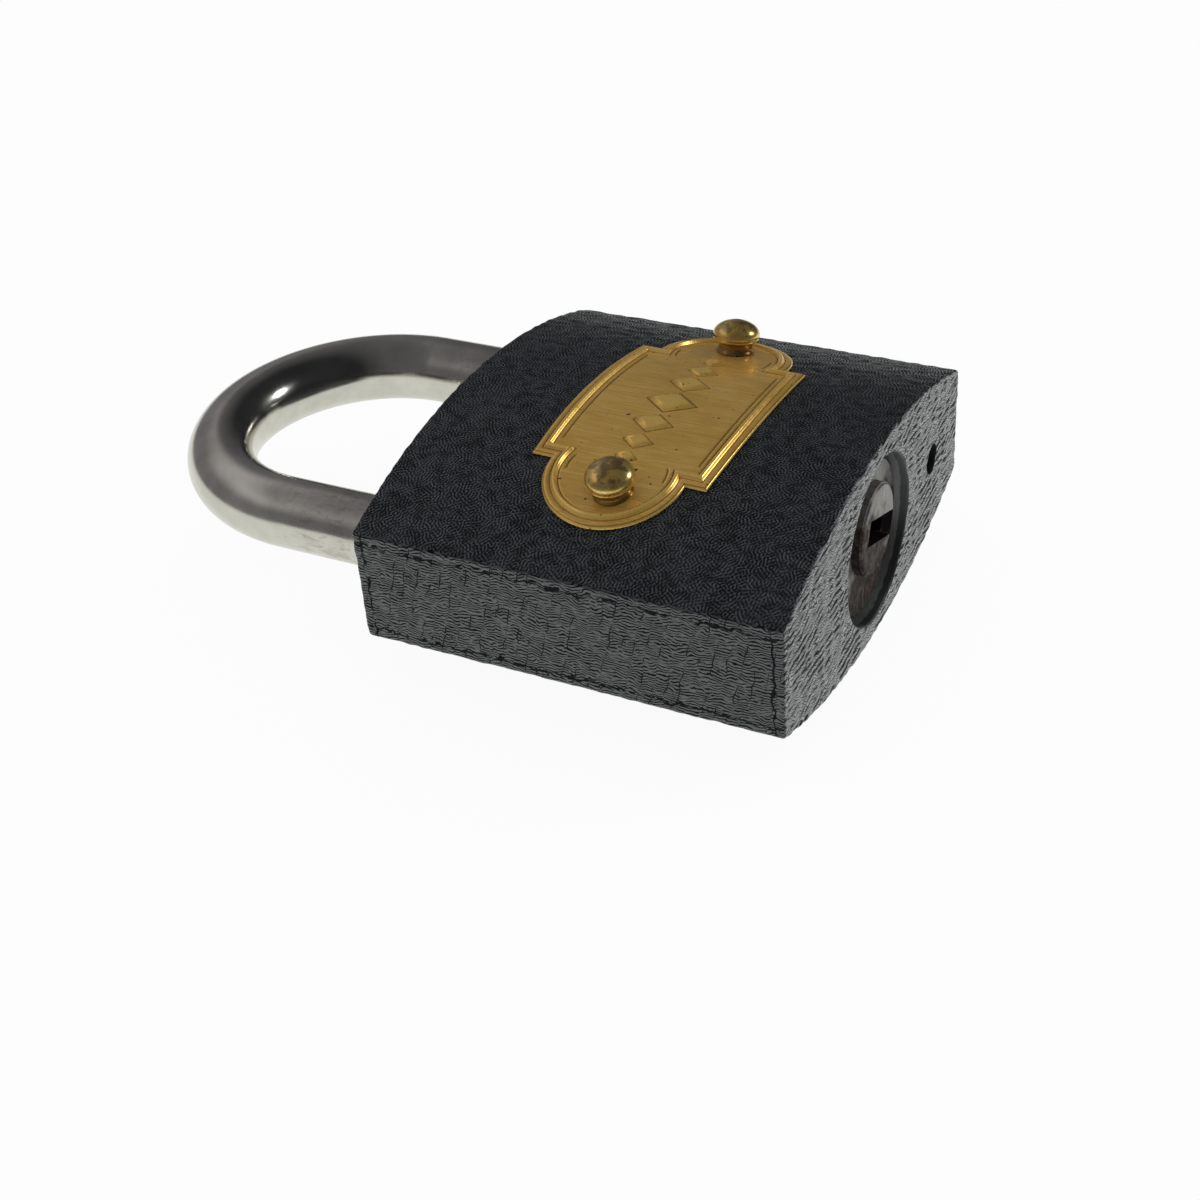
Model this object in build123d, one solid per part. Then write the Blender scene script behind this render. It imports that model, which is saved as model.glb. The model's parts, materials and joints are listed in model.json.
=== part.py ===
from build123d import *
import math
import os

# A cast-iron padlock with a steel shackle, a riveted brass badge and a pin-tumbler cylinder.
#
# Design frame, in millimetres: X across the body, Y from the key face (0) towards the shackle,
# Z from the middle of the body's thickness towards the badge. The parts are written in the row
# frame, where the padlock lies on its back: Z is up from the lowest line of the back, and X and Y
# are measured from the middle of the whole lock.
#
# The lock is stored closed and released: the plug stands at the end of its opening turn, the bolt
# is drawn back, and the tumblers stand at the shear line, where the right key holds them.

# Body casting
BODY_WIDTH = 50.0
BODY_HEIGHT = 44.4
BODY_THICKNESS = 21.8
EDGE_THICKNESS = 12.1
BODY_FILLET = 0.4

# Shackle
SHACKLE_DIAMETER = 7.5
LEG_INSET = 8.75
STRAIGHT_ABOVE_BODY = 14.3
LEG_CLEARANCE = 0.25
TOE_DEPTH = 13.0
TOE_CHAMFER = 1.2
SHACKLE_LIFT = 14.0
NECK_RADIUS = 2.2
NECK_END_PLAY = 0.5
COLLAR_LENGTH = 3.0

# Heel bore, its spring and its drain hole
HEEL_WALL = 2.0
HEEL_SPRING_WIRE = 0.9
HEEL_SPRING_PITCH = 1.6
HEEL_SPRING_CLEARANCE = 0.5
DRAIN_RADIUS = 1.6

# Cylinder shell and its place in the body
SHELL_RADIUS = 8.6
SHELL_CLEARANCE = 0.1
SHELL_RECESS = 1.3
SHELL_CHAMFER = 0.7
BORE_CHAMFER = 0.25
FLANGE_THICKNESS = 3.0
END_PLAY = 0.1

# Plug, keyway and crank
PLUG_RADIUS = 4.7
PLUG_OFFSET = 1.2
PLUG_RECESS = 0.2
PLUG_CLEARANCE = 0.05
PLUG_CHAMFER = 0.25
PLUG_TURN = 110.0
FLANGE_RADIUS = 6.5
KEYWAY_WIDTH = 2.6
KEYWAY_FLOOR = 2.7
KEYWAY_LENGTH = 24.0
CRANK_RADIUS = 1.8
CRANK_PIN_RADIUS = 1.0
CRANK_PIN_LENGTH = 4.2

# Pin tumblers
TUMBLER_RADIUS = 1.35
TUMBLER_CLEARANCE = 0.05
FIRST_TUMBLER = 5.5
TUMBLER_PITCH = 4.0
KEY_PIN_LENGTHS = (2.4, 3.1, 2.7, 3.3, 2.5)
KEY_PIN_TIP = 0.5
KEY_PIN_SETBACK = 0.1
KEY_PIN_CROWN = 0.45
DRIVER_LENGTH = 2.0
DRIVER_EDGE = 0.2
CAP_THICKNESS = 0.65
TUMBLER_SPRING_WIRE = 0.24
TUMBLER_SPRING_PITCH = 0.45
TUMBLER_SPRING_CLEARANCE = 0.15

# Bolt and its spring
BOLT_TAIL = 1.8
BOLT_HEIGHT = 5.0
BOLT_WIDTH = 6.8
BOLT_CLEARANCE = 0.2
BOLT_BELOW_TOP = 8.0
BOLT_ENGAGEMENT = 1.9
NOTCH_CLEARANCE = 0.3
NOSE_BEVEL = 1.8
SHOULDER_GAP = 0.25
SLAM_TRAVEL = 3.1
SPIGOT_RADIUS = 1.2
SPIGOT_LENGTH = 1.8
BOLT_SPRING_SPACE = 4.8
BOLT_SPRING_WIRE = 0.5
BOLT_SPRING_PITCH = 1.1

# Retaining pins
RETAINER_RADIUS = 1.5
RETAINER_PLAY = 0.1
CYLINDER_PIN_RADIUS = 1.5
CYLINDER_PIN_BITE = 1.5
CYLINDER_PIN_FROM_BACK = 4.0
PIN_CLEARANCE = 0.03
PIN_BELOW_SURFACE = 0.4

# Badge, which is turned a little on the lock, and its rivets
BADGE_THICKNESS = 0.35
BADGE_GAP = 0.05
BADGE_HALF_LENGTH = 11.75
BADGE_HALF_HEIGHT = 9.25
BADGE_BULGE = 0.4
BADGE_STEP = 0.05
LOBE_OUTSET = 0.35
LOBE_RADIUS = 7.1
BADGE_Y = 21.75
BADGE_TILT = -1.7
BEAD_INSET = 0.85
BEAD_WIDTH = 0.6
BEAD_HEIGHT = 0.22
RIVET_OUTSET = 2.5
RIVET_Y = 21.2
RIVET_SHANK_RADIUS = 1.2
RIVET_SHANK_LENGTH = 3.6
RIVET_NECK_RADIUS = 1.8
RIVET_NECK_HEIGHT = 0.9
RIVET_FLARE_HEIGHT = 0.7
RIVET_HEAD_RADIUS = 2.45
RIVET_SKIRT_HEIGHT = 0.5
RIVET_LEDGE = 0.15
RIVET_DOME_HEIGHT = 1.3

# Worked out from the sizes above
shackle_radius = SHACKLE_DIAMETER / 2
leg_x = BODY_WIDTH / 2 - LEG_INSET
leg_bore_radius = shackle_radius + LEG_CLEARANCE
overall_length = BODY_HEIGHT + STRAIGHT_ABOVE_BODY + leg_x + shackle_radius
face_sagitta = (BODY_THICKNESS - EDGE_THICKNESS) / 2
face_radius = ((BODY_WIDTH / 2) ** 2 + face_sagitta**2) / (2 * face_sagitta)
face_centre_z = BODY_THICKNESS / 2 - face_radius

toe_tip_y = BODY_HEIGHT - TOE_DEPTH
bolt_y = BODY_HEIGHT - BOLT_BELOW_TOP
bolt_low_y = bolt_y - BOLT_HEIGHT / 2
bolt_high_y = bolt_y + BOLT_HEIGHT / 2
bore_end_y = bolt_low_y - BOLT_CLEARANCE
flange_top_y = bore_end_y - BOLT_CLEARANCE
flange_low_y = flange_top_y - FLANGE_THICKNESS
shell_back_y = flange_low_y - END_PLAY
bore_radius = SHELL_RADIUS + SHELL_CLEARANCE

retainer_y = shell_back_y - RETAINER_RADIUS - END_PLAY
neck_low_y = retainer_y - RETAINER_RADIUS - SHACKLE_LIFT - RETAINER_PLAY
neck_high_y = retainer_y + RETAINER_RADIUS + NECK_END_PLAY
heel_tip_y = neck_low_y - COLLAR_LENGTH
heel_spring_space = heel_tip_y - HEEL_WALL

half_turn = math.radians(PLUG_TURN / 2)
bolt_travel = 2 * CRANK_RADIUS * math.sin(half_turn)
leg_inner_x = leg_x - shackle_radius
nose_x = -(leg_inner_x + BOLT_ENGAGEMENT) + bolt_travel
crank_x = CRANK_RADIUS * math.sin(half_turn)
shoulder_x = crank_x + CRANK_PIN_RADIUS + SHOULDER_GAP
bolt_rear_x = shoulder_x + BOLT_TAIL
chamber_end_x = bolt_rear_x + BOLT_SPRING_SPACE
chamber_half_z = BOLT_WIDTH / 2 + BOLT_CLEARANCE

tumbler_ys = [FIRST_TUMBLER + TUMBLER_PITCH * i for i in range(len(KEY_PIN_LENGTHS))]
chamber_radius = TUMBLER_RADIUS + TUMBLER_CLEARANCE
plug_bore_radius = PLUG_RADIUS + PLUG_CLEARANCE
cap_outer_reach = math.sqrt(SHELL_RADIUS**2 - chamber_radius**2)
keyway_angle = 90.0 - PLUG_TURN
crank_angle = 90.0 - PLUG_TURN / 2
cylinder_pin_y = shell_back_y - CYLINDER_PIN_FROM_BACK

lobe_x = BADGE_HALF_LENGTH + LOBE_OUTSET
rivet_x = lobe_x + RIVET_OUTSET

ROW_FRAME = Location((0, -overall_length / 2, BODY_THICKNESS / 2))


def rod(start, direction, radius, length):
    """A round bar from a start point along a direction."""
    return Plane(origin=start, z_dir=direction) * Cylinder(
        radius, length, align=(Align.CENTER, Align.CENTER, Align.MIN)
    )


def block(x_range, y_range, z_range):
    """A box between two corners, given as ranges along each axis."""
    low = [r[0] for r in (x_range, y_range, z_range)]
    size = [r[1] - r[0] for r in (x_range, y_range, z_range)]
    return Pos(*low) * Box(*size, align=(Align.MIN, Align.MIN, Align.MIN))


def about_plug(angle):
    """A frame on the plug's axis at the key face, whose local X points at an angle from +X to +Z."""
    a = math.radians(angle)
    return Plane(
        origin=(0, 0, PLUG_OFFSET),
        x_dir=(math.cos(a), 0, math.sin(a)),
        z_dir=(0, 1, 0),
    )


def coil(start, direction, mean_radius, wire, space, pitch):
    """A round-wire compression spring that fills a space between two seats."""
    rise = space - wire - 2 * END_PLAY
    path = Helix(pitch=pitch, height=rise, radius=mean_radius)
    section = Plane(origin=path @ 0, z_dir=path % 0) * Circle(wire / 2)
    spring = sweep(section, path=path, is_frenet=True)
    return Plane(origin=start, z_dir=direction) * Pos(0, 0, wire / 2 + END_PLAY) * spring


def face_z(x):
    """Height of the body's front face above the middle plane at a place across the body."""
    return face_centre_z + math.sqrt(face_radius**2 - x**2)


def body_blank():
    """The casting's outer shape: two bowed faces between flat sides and flat ends."""
    half_width, half_edge, half_thick = BODY_WIDTH / 2, EDGE_THICKNESS / 2, BODY_THICKNESS / 2
    front = ThreePointArc((-half_width, half_edge), (0, half_thick), (half_width, half_edge))
    right = Line((half_width, half_edge), (half_width, -half_edge))
    back = ThreePointArc((half_width, -half_edge), (0, -half_thick), (-half_width, -half_edge))
    left = Line((-half_width, -half_edge), (-half_width, half_edge))
    outline = make_face([front, right, back, left])
    key_face = Plane(origin=(0, 0, 0), x_dir=(1, 0, 0), z_dir=(0, -1, 0))
    blank = extrude(key_face * outline, amount=-BODY_HEIGHT)
    return fillet(blank.edges(), BODY_FILLET)


def cylinder_bore():
    """The bore that takes the shell and the plug's flange, with a broken edge at its mouth."""
    mouth = Plane(origin=(0, 0, 0), z_dir=(0, 1, 0)) * Cone(
        bore_radius + BORE_CHAMFER, bore_radius, BORE_CHAMFER, align=(Align.CENTER, Align.CENTER, Align.MIN)
    )
    return mouth + rod((0, 0, 0), (0, 1, 0), bore_radius, bore_end_y)


def bolt_chamber():
    """The bolt's channel, from the toe bore to its spring's seat, with room for the crank pin's sweep."""
    chamber_top_y = bolt_high_y + BOLT_CLEARANCE
    channel = block((-leg_x, chamber_end_x), (bore_end_y, chamber_top_y), (-chamber_half_z, chamber_half_z))
    sweep_radius = CRANK_RADIUS + CRANK_PIN_RADIUS + BOLT_CLEARANCE
    return channel + rod((0, bore_end_y, PLUG_OFFSET), (0, 1, 0), sweep_radius, chamber_top_y - bore_end_y)


def leg_bores():
    """The two bores for the shackle's legs, and the drain hole under the heel."""
    toe_floor_y = toe_tip_y - BOLT_CLEARANCE
    toe = rod((-leg_x, toe_floor_y, 0), (0, 1, 0), leg_bore_radius, BODY_HEIGHT - toe_floor_y)
    heel = rod((leg_x, HEEL_WALL, 0), (0, 1, 0), leg_bore_radius, BODY_HEIGHT - HEEL_WALL)
    drain = rod((leg_x, 0, 0), (0, 1, 0), DRAIN_RADIUS, HEEL_WALL)
    return toe + heel + drain


def rivet_frame(side):
    """The frame of a rivet on the badge's outer face, with its local Z along the face's normal."""
    x = side * rivet_x
    lean = math.asin(x / face_radius)
    reach = face_radius + BADGE_GAP + BADGE_THICKNESS
    origin = (reach * math.sin(lean), RIVET_Y, face_centre_z + reach * math.cos(lean))
    return Plane(origin=origin, x_dir=(0, 1, 0), z_dir=(math.sin(lean), 0, math.cos(lean)))


def rivet_hole(side, radius):
    """The hole for a rivet's shank, through the badge and into the casting."""
    depth = RIVET_SHANK_LENGTH + END_PLAY
    return rivet_frame(side) * Cylinder(radius, 2 * depth)


def retainer_hole():
    """The cross hole from the cylinder bore to the heel bore."""
    return rod((0, retainer_y, 0), (1, 0, 0), RETAINER_RADIUS + PIN_CLEARANCE, leg_x)


def cylinder_pin_hole():
    """The hole through the front wall into the shell, which the badge covers."""
    floor_z = SHELL_RADIUS - CYLINDER_PIN_BITE
    return rod((0, cylinder_pin_y, floor_z), (0, 0, 1), CYLINDER_PIN_RADIUS + PIN_CLEARANCE, face_radius)


def lock_body():
    body = body_blank() - cylinder_bore() - bolt_chamber() - leg_bores()
    body -= retainer_hole()
    body -= cylinder_pin_hole()
    for side in (-1, 1):
        body -= rivet_hole(side, RIVET_SHANK_RADIUS + PIN_CLEARANCE)
    return body


def shackle():
    """The bent bar, with a notch for the bolt in the toe and a turned neck in the heel."""
    bend_y = BODY_HEIGHT + STRAIGHT_ABOVE_BODY
    toe_leg = Line((-leg_x, toe_tip_y), (-leg_x, bend_y))
    crown = ThreePointArc((-leg_x, bend_y), (0, bend_y + leg_x), (leg_x, bend_y))
    heel_leg = Line((leg_x, bend_y), (leg_x, neck_high_y))
    path = Wire([toe_leg, crown, heel_leg])
    section = Plane(origin=(-leg_x, toe_tip_y, 0), z_dir=(0, 1, 0)) * Circle(shackle_radius)
    bar = sweep(section, path=path)
    tip = bar.edges().filter_by(GeomType.CIRCLE).sort_by(Axis.Y)
    toe_edge = [e for e in tip if e.center().X < 0 and abs(e.center().Y - toe_tip_y) < END_PLAY]
    bar = chamfer(toe_edge, TOE_CHAMFER)
    neck = rod((leg_x, neck_low_y, 0), (0, 1, 0), NECK_RADIUS, neck_high_y - neck_low_y)
    collar = rod((leg_x, heel_tip_y, 0), (0, 1, 0), shackle_radius, COLLAR_LENGTH)
    notch_depth = BOLT_ENGAGEMENT + NOTCH_CLEARANCE
    notch = block(
        (-(leg_inner_x + notch_depth), 0),
        (bolt_low_y - NOTCH_CLEARANCE, bolt_high_y + NOTCH_CLEARANCE),
        (-leg_x, leg_x),
    )
    return bar - notch + neck + collar


def shackle_spring():
    mean_radius = leg_bore_radius - HEEL_SPRING_CLEARANCE - HEEL_SPRING_WIRE / 2
    seat = (leg_x, HEEL_WALL, 0)
    return coil(seat, (0, 1, 0), mean_radius, HEEL_SPRING_WIRE, heel_spring_space, HEEL_SPRING_PITCH)


def shackle_retaining_pin():
    """The pin that stops the heel, trapped in its hole by the cylinder shell."""
    start_x = SHELL_RADIUS + PIN_CLEARANCE
    end_x = leg_x - NECK_RADIUS - LEG_CLEARANCE
    return rod((start_x, retainer_y, 0), (1, 0, 0), RETAINER_RADIUS, end_x - start_x)


def cylinder_shell():
    shell = rod((0, SHELL_RECESS, 0), (0, 1, 0), SHELL_RADIUS, shell_back_y - SHELL_RECESS)
    shell = chamfer(shell.faces().sort_by(Axis.Y)[0].edges(), SHELL_CHAMFER)
    shell -= rod((0, 0, PLUG_OFFSET), (0, 1, 0), plug_bore_radius, shell_back_y)
    for y in tumbler_ys:
        shell -= rod((0, y, PLUG_OFFSET), (0, 0, -1), chamber_radius, 2 * SHELL_RADIUS)
    return shell - cylinder_pin_hole()


def cylinder_pin():
    floor_z = SHELL_RADIUS - CYLINDER_PIN_BITE
    length = BODY_THICKNESS / 2 - PIN_BELOW_SURFACE - floor_z
    return rod((0, cylinder_pin_y, floor_z), (0, 0, 1), CYLINDER_PIN_RADIUS, length)


def key_plug():
    """The turning plug, with its keyway, tumbler chambers, rear flange and crank pin."""
    keyed = about_plug(keyway_angle)
    plug = rod((0, PLUG_RECESS, PLUG_OFFSET), (0, 1, 0), PLUG_RADIUS, flange_low_y - PLUG_RECESS)
    plug = chamfer(plug.faces().sort_by(Axis.Y)[0].edges(), PLUG_CHAMFER)
    plug += rod((0, flange_low_y, PLUG_OFFSET), (0, 1, 0), FLANGE_RADIUS, FLANGE_THICKNESS)
    slot_length = KEYWAY_FLOOR + 2 * PLUG_RADIUS
    slot = Pos(-KEYWAY_FLOOR, 0, 0) * Box(
        slot_length, KEYWAY_WIDTH, PLUG_RECESS + KEYWAY_LENGTH, align=(Align.MIN, Align.CENTER, Align.MIN)
    )
    plug -= keyed * slot
    for y in tumbler_ys:
        toward_pins = -keyed.x_dir
        plug -= rod((0, y, PLUG_OFFSET), toward_pins, chamber_radius, 2 * PLUG_RADIUS)
    crank = about_plug(crank_angle)
    pin = crank * Pos(CRANK_RADIUS, 0, flange_top_y) * Cylinder(
        CRANK_PIN_RADIUS, CRANK_PIN_LENGTH, align=(Align.CENTER, Align.CENTER, Align.MIN)
    )
    return plug + pin


def key_pin(y, length):
    """A tumbler that rides in the plug, with its rounded tip in the keyway."""
    keyed = about_plug(keyway_angle)
    inward = keyed.x_dir
    start = Vector(0, y, PLUG_OFFSET) - inward * (PLUG_RADIUS - KEY_PIN_SETBACK)
    pin = rod(start, inward, TUMBLER_RADIUS, length)
    crown = pin.faces().sort_by(Axis(start, inward))[0]
    pin = chamfer(crown.edges(), KEY_PIN_CROWN)
    tip = pin.faces().sort_by(Axis(start, inward))[-1]
    return chamfer(tip.edges(), KEY_PIN_TIP)


def driver_top_z():
    """Where a driver's spring end lies below the plug."""
    return PLUG_OFFSET - plug_bore_radius - PLUG_CLEARANCE - DRIVER_LENGTH


def driver_pin(y):
    """A tumbler that rides in the shell, pressed on the plug by its spring."""
    pin = rod((0, y, driver_top_z()), (0, 0, 1), TUMBLER_RADIUS, DRIVER_LENGTH)
    return chamfer(pin.edges().filter_by(GeomType.CIRCLE), DRIVER_EDGE)


def tumbler_spring(y):
    space = cap_outer_reach - CAP_THICKNESS + driver_top_z()
    mean_radius = chamber_radius - TUMBLER_SPRING_CLEARANCE - TUMBLER_SPRING_WIRE / 2
    seat = (0, y, driver_top_z() - space)
    return coil(seat, (0, 0, 1), mean_radius, TUMBLER_SPRING_WIRE, space, TUMBLER_SPRING_PITCH)


def chamber_caps():
    """The caps that close the tumbler chambers at the shell's outside, one over each spring."""
    radius = chamber_radius - PIN_CLEARANCE
    caps = [rod((0, y, -cap_outer_reach), (0, 0, 1), radius, CAP_THICKNESS) for y in tumbler_ys]
    return Compound(children=caps)


def locking_bolt():
    """The sliding bolt: a bevelled nose, a window for the crank pin and a spigot for its spring."""
    half_z = BOLT_WIDTH / 2
    bolt = block((nose_x, bolt_rear_x), (bolt_low_y, bolt_high_y), (-half_z, half_z))
    nose = bolt.edges().filter_by(Axis.Z).group_by(Axis.X)[0].sort_by(Axis.Y)[-1]
    bolt = chamfer(nose, NOSE_BEVEL)
    window_start = crank_x - CRANK_PIN_RADIUS - SLAM_TRAVEL
    window_floor = PLUG_OFFSET + CRANK_RADIUS * math.cos(half_turn) - CRANK_PIN_RADIUS - BOLT_CLEARANCE
    bolt -= block((window_start, shoulder_x), (0, BODY_HEIGHT), (window_floor, BODY_THICKNESS))
    return bolt + rod((bolt_rear_x, bolt_y, 0), (1, 0, 0), SPIGOT_RADIUS, SPIGOT_LENGTH)


def bolt_spring():
    mean_radius = SPIGOT_RADIUS + BOLT_SPRING_WIRE
    seat = (bolt_rear_x, bolt_y, 0)
    return coil(seat, (1, 0, 0), mean_radius, BOLT_SPRING_WIRE, BOLT_SPRING_SPACE, BOLT_SPRING_PITCH)


def badge_outline():
    """A panel with bulged long edges and a round lobe at each end, seen from the front."""
    neck_x = BADGE_HALF_LENGTH + BADGE_STEP
    neck_y = math.sqrt(LOBE_RADIUS**2 - (lobe_x - neck_x) ** 2)
    lobe_end = lobe_x + LOBE_RADIUS
    corner = (BADGE_HALF_LENGTH, BADGE_HALF_HEIGHT)
    edges = [
        ThreePointArc((-corner[0], corner[1]), (0, corner[1] + BADGE_BULGE), corner),
        Line(corner, (neck_x, neck_y)),
        ThreePointArc((neck_x, neck_y), (lobe_end, 0), (neck_x, -neck_y)),
        Line((neck_x, -neck_y), (corner[0], -corner[1])),
        ThreePointArc((corner[0], -corner[1]), (0, -corner[1] - BADGE_BULGE), (-corner[0], -corner[1])),
        Line((-corner[0], -corner[1]), (-neck_x, -neck_y)),
        ThreePointArc((-neck_x, -neck_y), (-lobe_end, 0), (-neck_x, neck_y)),
        Line((-neck_x, neck_y), (-corner[0], corner[1])),
    ]
    return make_face(edges)


def over_face(sketch, lift, thickness):
    """A sketch, drawn from the front, as a plate that follows the bowed face at a lift above it."""
    column = extrude(Pos(0, BADGE_Y, 0) * Rot(0, 0, BADGE_TILT) * sketch, amount=BODY_THICKNESS)
    axis_start = (0, 0, face_centre_z)
    outer = rod(axis_start, (0, 1, 0), face_radius + lift + thickness, BODY_HEIGHT)
    inner = rod(axis_start, (0, 1, 0), face_radius + lift, BODY_HEIGHT)
    return column & (outer - inner)


def badge_plate():
    """The brass badge: a thin plate with a raised line inside its edge and two rivet holes."""
    outline = badge_outline()
    plate = over_face(outline, BADGE_GAP, BADGE_THICKNESS)
    line_outer = offset(outline, amount=-BEAD_INSET, kind=Kind.INTERSECTION)
    line_inner = offset(outline, amount=-BEAD_INSET - BEAD_WIDTH, kind=Kind.INTERSECTION)
    bead_lift = BADGE_GAP + BADGE_THICKNESS - BEAD_HEIGHT
    plate += over_face(line_outer - line_inner, bead_lift, 2 * BEAD_HEIGHT)
    for side in (-1, 1):
        plate -= rivet_hole(side, RIVET_SHANK_RADIUS + PIN_CLEARANCE)
    return plate


def badge_rivet(side):
    """A round-head drive rivet: a neck that flares to a skirt, with a dome set back on a ledge."""
    flare_high = RIVET_NECK_HEIGHT + RIVET_FLARE_HEIGHT
    skirt_high = flare_high + RIVET_SKIRT_HEIGHT
    crown = skirt_high + RIVET_DOME_HEIGHT
    dome_edge = RIVET_HEAD_RADIUS - RIVET_LEDGE
    dome_radius = (dome_edge**2 + RIVET_DOME_HEIGHT**2) / (2 * RIVET_DOME_HEIGHT)
    half_way = dome_edge / 2
    half_height = crown - dome_radius + math.sqrt(dome_radius**2 - half_way**2)
    shank_side = [
        (0, -RIVET_SHANK_LENGTH),
        (RIVET_SHANK_RADIUS, -RIVET_SHANK_LENGTH),
        (RIVET_SHANK_RADIUS, 0),
        (RIVET_NECK_RADIUS, 0),
        (RIVET_NECK_RADIUS, RIVET_NECK_HEIGHT),
        (RIVET_HEAD_RADIUS, flare_high),
        (RIVET_HEAD_RADIUS, skirt_high),
        (dome_edge, skirt_high),
    ]
    profile = [Line(a, b) for a, b in zip(shank_side, shank_side[1:])]
    profile.append(ThreePointArc((dome_edge, skirt_high), (half_way, half_height), (0, crown)))
    profile.append(Line((0, crown), (0, -RIVET_SHANK_LENGTH)))
    rivet = revolve(Plane.XZ * make_face(profile), Axis.Z)
    return rivet_frame(side) * rivet


def all_parts():
    """Every piece by its node name, in the design frame."""
    parts = {
        "lock_body": lock_body(),
        "shackle": shackle(),
        "shackle_spring": shackle_spring(),
        "shackle_retaining_pin": shackle_retaining_pin(),
        "cylinder_shell": cylinder_shell(),
        "cylinder_pin": cylinder_pin(),
        "key_plug": key_plug(),
        "chamber_caps": chamber_caps(),
        "locking_bolt": locking_bolt(),
        "bolt_spring": bolt_spring(),
        "badge_plate": badge_plate(),
        "badge_rivet_toe_side": badge_rivet(-1),
        "badge_rivet_heel_side": badge_rivet(1),
    }
    for number, (y, length) in enumerate(zip(tumbler_ys, KEY_PIN_LENGTHS), start=1):
        parts[f"key_pin_{number}"] = key_pin(y, length)
        parts[f"driver_pin_{number}"] = driver_pin(y)
        parts[f"tumbler_spring_{number}"] = tumbler_spring(y)
    return parts


os.makedirs("parts", exist_ok=True)
for node, part in all_parts().items():
    export_step(ROW_FRAME * part, f"parts/{node}.step")
print(f"bolt travel {bolt_travel:.3f} mm, overall length {overall_length:.2f} mm")
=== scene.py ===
import json
import math

import bmesh
import bpy
import numpy as np
from mathutils import Matrix, Vector
from mathutils.geometry import delaunay_2d_cdt


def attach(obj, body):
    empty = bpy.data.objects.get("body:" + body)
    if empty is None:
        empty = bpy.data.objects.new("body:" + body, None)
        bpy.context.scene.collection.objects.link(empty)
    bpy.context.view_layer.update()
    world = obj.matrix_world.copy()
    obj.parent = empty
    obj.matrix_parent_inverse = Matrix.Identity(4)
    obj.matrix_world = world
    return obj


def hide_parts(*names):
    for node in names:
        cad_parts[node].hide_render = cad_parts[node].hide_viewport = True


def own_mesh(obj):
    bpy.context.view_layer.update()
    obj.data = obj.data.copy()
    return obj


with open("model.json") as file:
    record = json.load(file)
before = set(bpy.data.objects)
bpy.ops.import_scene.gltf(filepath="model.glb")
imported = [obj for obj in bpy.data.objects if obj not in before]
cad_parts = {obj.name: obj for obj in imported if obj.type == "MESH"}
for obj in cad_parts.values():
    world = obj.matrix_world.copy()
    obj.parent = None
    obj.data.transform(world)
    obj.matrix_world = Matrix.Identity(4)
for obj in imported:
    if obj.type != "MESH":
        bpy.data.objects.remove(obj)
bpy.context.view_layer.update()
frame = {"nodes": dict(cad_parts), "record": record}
nodes = frame["nodes"]

# Sizes are in millimetres in the lock's own frame: X across the body, Y from the key face towards
# the shackle, Z from the middle of the thickness towards the badge.
MM = 0.001
ROW_SHIFT = (0.0, -39.35, 10.9)

# Body
BODY_WIDTH = 50.0
BODY_HEIGHT = 44.4
BODY_THICKNESS = 21.8
EDGE_THICKNESS = 12.1
LONG_EDGE_RADIUS = 0.45
END_EDGE_RADIUS = 0.35
FRONT_CELLS = 180
SIDE_CELLS = 52
LENGTH_CELLS = 150
EDGE_CELLS = 3
BEND_POINTS = 100
BODY_CREASE = 50

# Paint
PAINT_DEPTH = 0.06
PAINT_WAVE = 0.052
SKIN_WAVES = {"seed": 7, "count": 60, "shortest": 1.1, "longest": 2.1}
PAINT_RELIEF = 0.09
FOLD_DEPTH = 0.06
FACE_FOLD_DEPTH = 0.15
END_FOLD_DEPTH = 0.24
RIDGE_SPACING = 0.3
SIDE_STRETCH = (0.45, 1.1)
SIDE_ORDER = 0.65
SIDE_LIFT = 0.05
END_LINES = 0.6
CROOK_CELL = 1.0
CROOK_LINES = 3.0
FACE_ORDER = 0.2
END_ORDER = 0.62
END_STRETCH = (0.27, 0.4)
FACE_FLANKS = (0.38, 0.64)
COLUMN_WIDTH = 1.3
FACE_GLOSS = 0.36
SIDE_GLOSS = 0.8
END_GLOSS = 1.0
RIM_GROOVE = 1.1
RIM_GROOVE_HALF = 0.17
FOLD_GRAIN = 0.9
FOLD_STRETCH = (0.3, 0.6, 1.0)
# Paint base colours: the groove and hollow colours are painted shade, and the faces take a lighter copy of
# the paint than the sides and ends, as painted light
SHADED_GROOVE_PAINT = (0.0025, 0.003, 0.0035)
PAINT_SLOPE = (0.011, 0.0125, 0.0145)
PAINT_RIDGE = (0.024, 0.0275, 0.031)
SHADED_FACE_GROOVE = (0.004, 0.005, 0.0058)
LIT_FACE_RIDGE = (0.046, 0.052, 0.0575)
FACE_LUMP = (1.0, 0.6, 1.0)
FACE_LUMP_GRAIN = 0.7
GROOVE_FLANKS = (0.0, 0.6)
PAINT_TINT = (0.92, 1.0, 0.95, 1)
SHADED_HOLLOW_PAINT = (0.006, 0.008, 0.0085, 1)
WRINKLE_SIDE = (0.22, 0.14, 1.0)
WRINKLE_ACROSS = (0.8, 1.0, 0.15)

# Bores and pockets in the body
BORE_RADIUS = 8.7
BORE_CHAMFER = 0.25
BORE_END_Y = 33.7
CHANNEL_X = (-16.25, 9.3245)
CHANNEL_TOP_Y = 39.1
CHANNEL_HALF_Z = 3.6
PLUG_OFFSET = 1.2
PLUG_RADIUS = 4.7
PLUG_FACE_Y = 0.2
SHELL_FACE_Y = 1.3
CRANK_SWEEP_RADIUS = 3.0
LEG_X = 16.25
LEG_BORE_RADIUS = 4.0
TOE_FLOOR_Y = 31.2
HEEL_WALL = 2.0
DRAIN_RADIUS = 1.6
RETAINER_Y = 28.8
PIN_HOLE_RADIUS = 1.53
CYLINDER_PIN_Y = 26.4
CYLINDER_PIN_FLOOR_Z = 7.1
RIVET_HOLE_RADIUS = 1.23
RIVET_HOLE_DEPTH = 3.7
BORE_SEGMENTS = 128
ROD_SEGMENTS = 64

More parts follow.
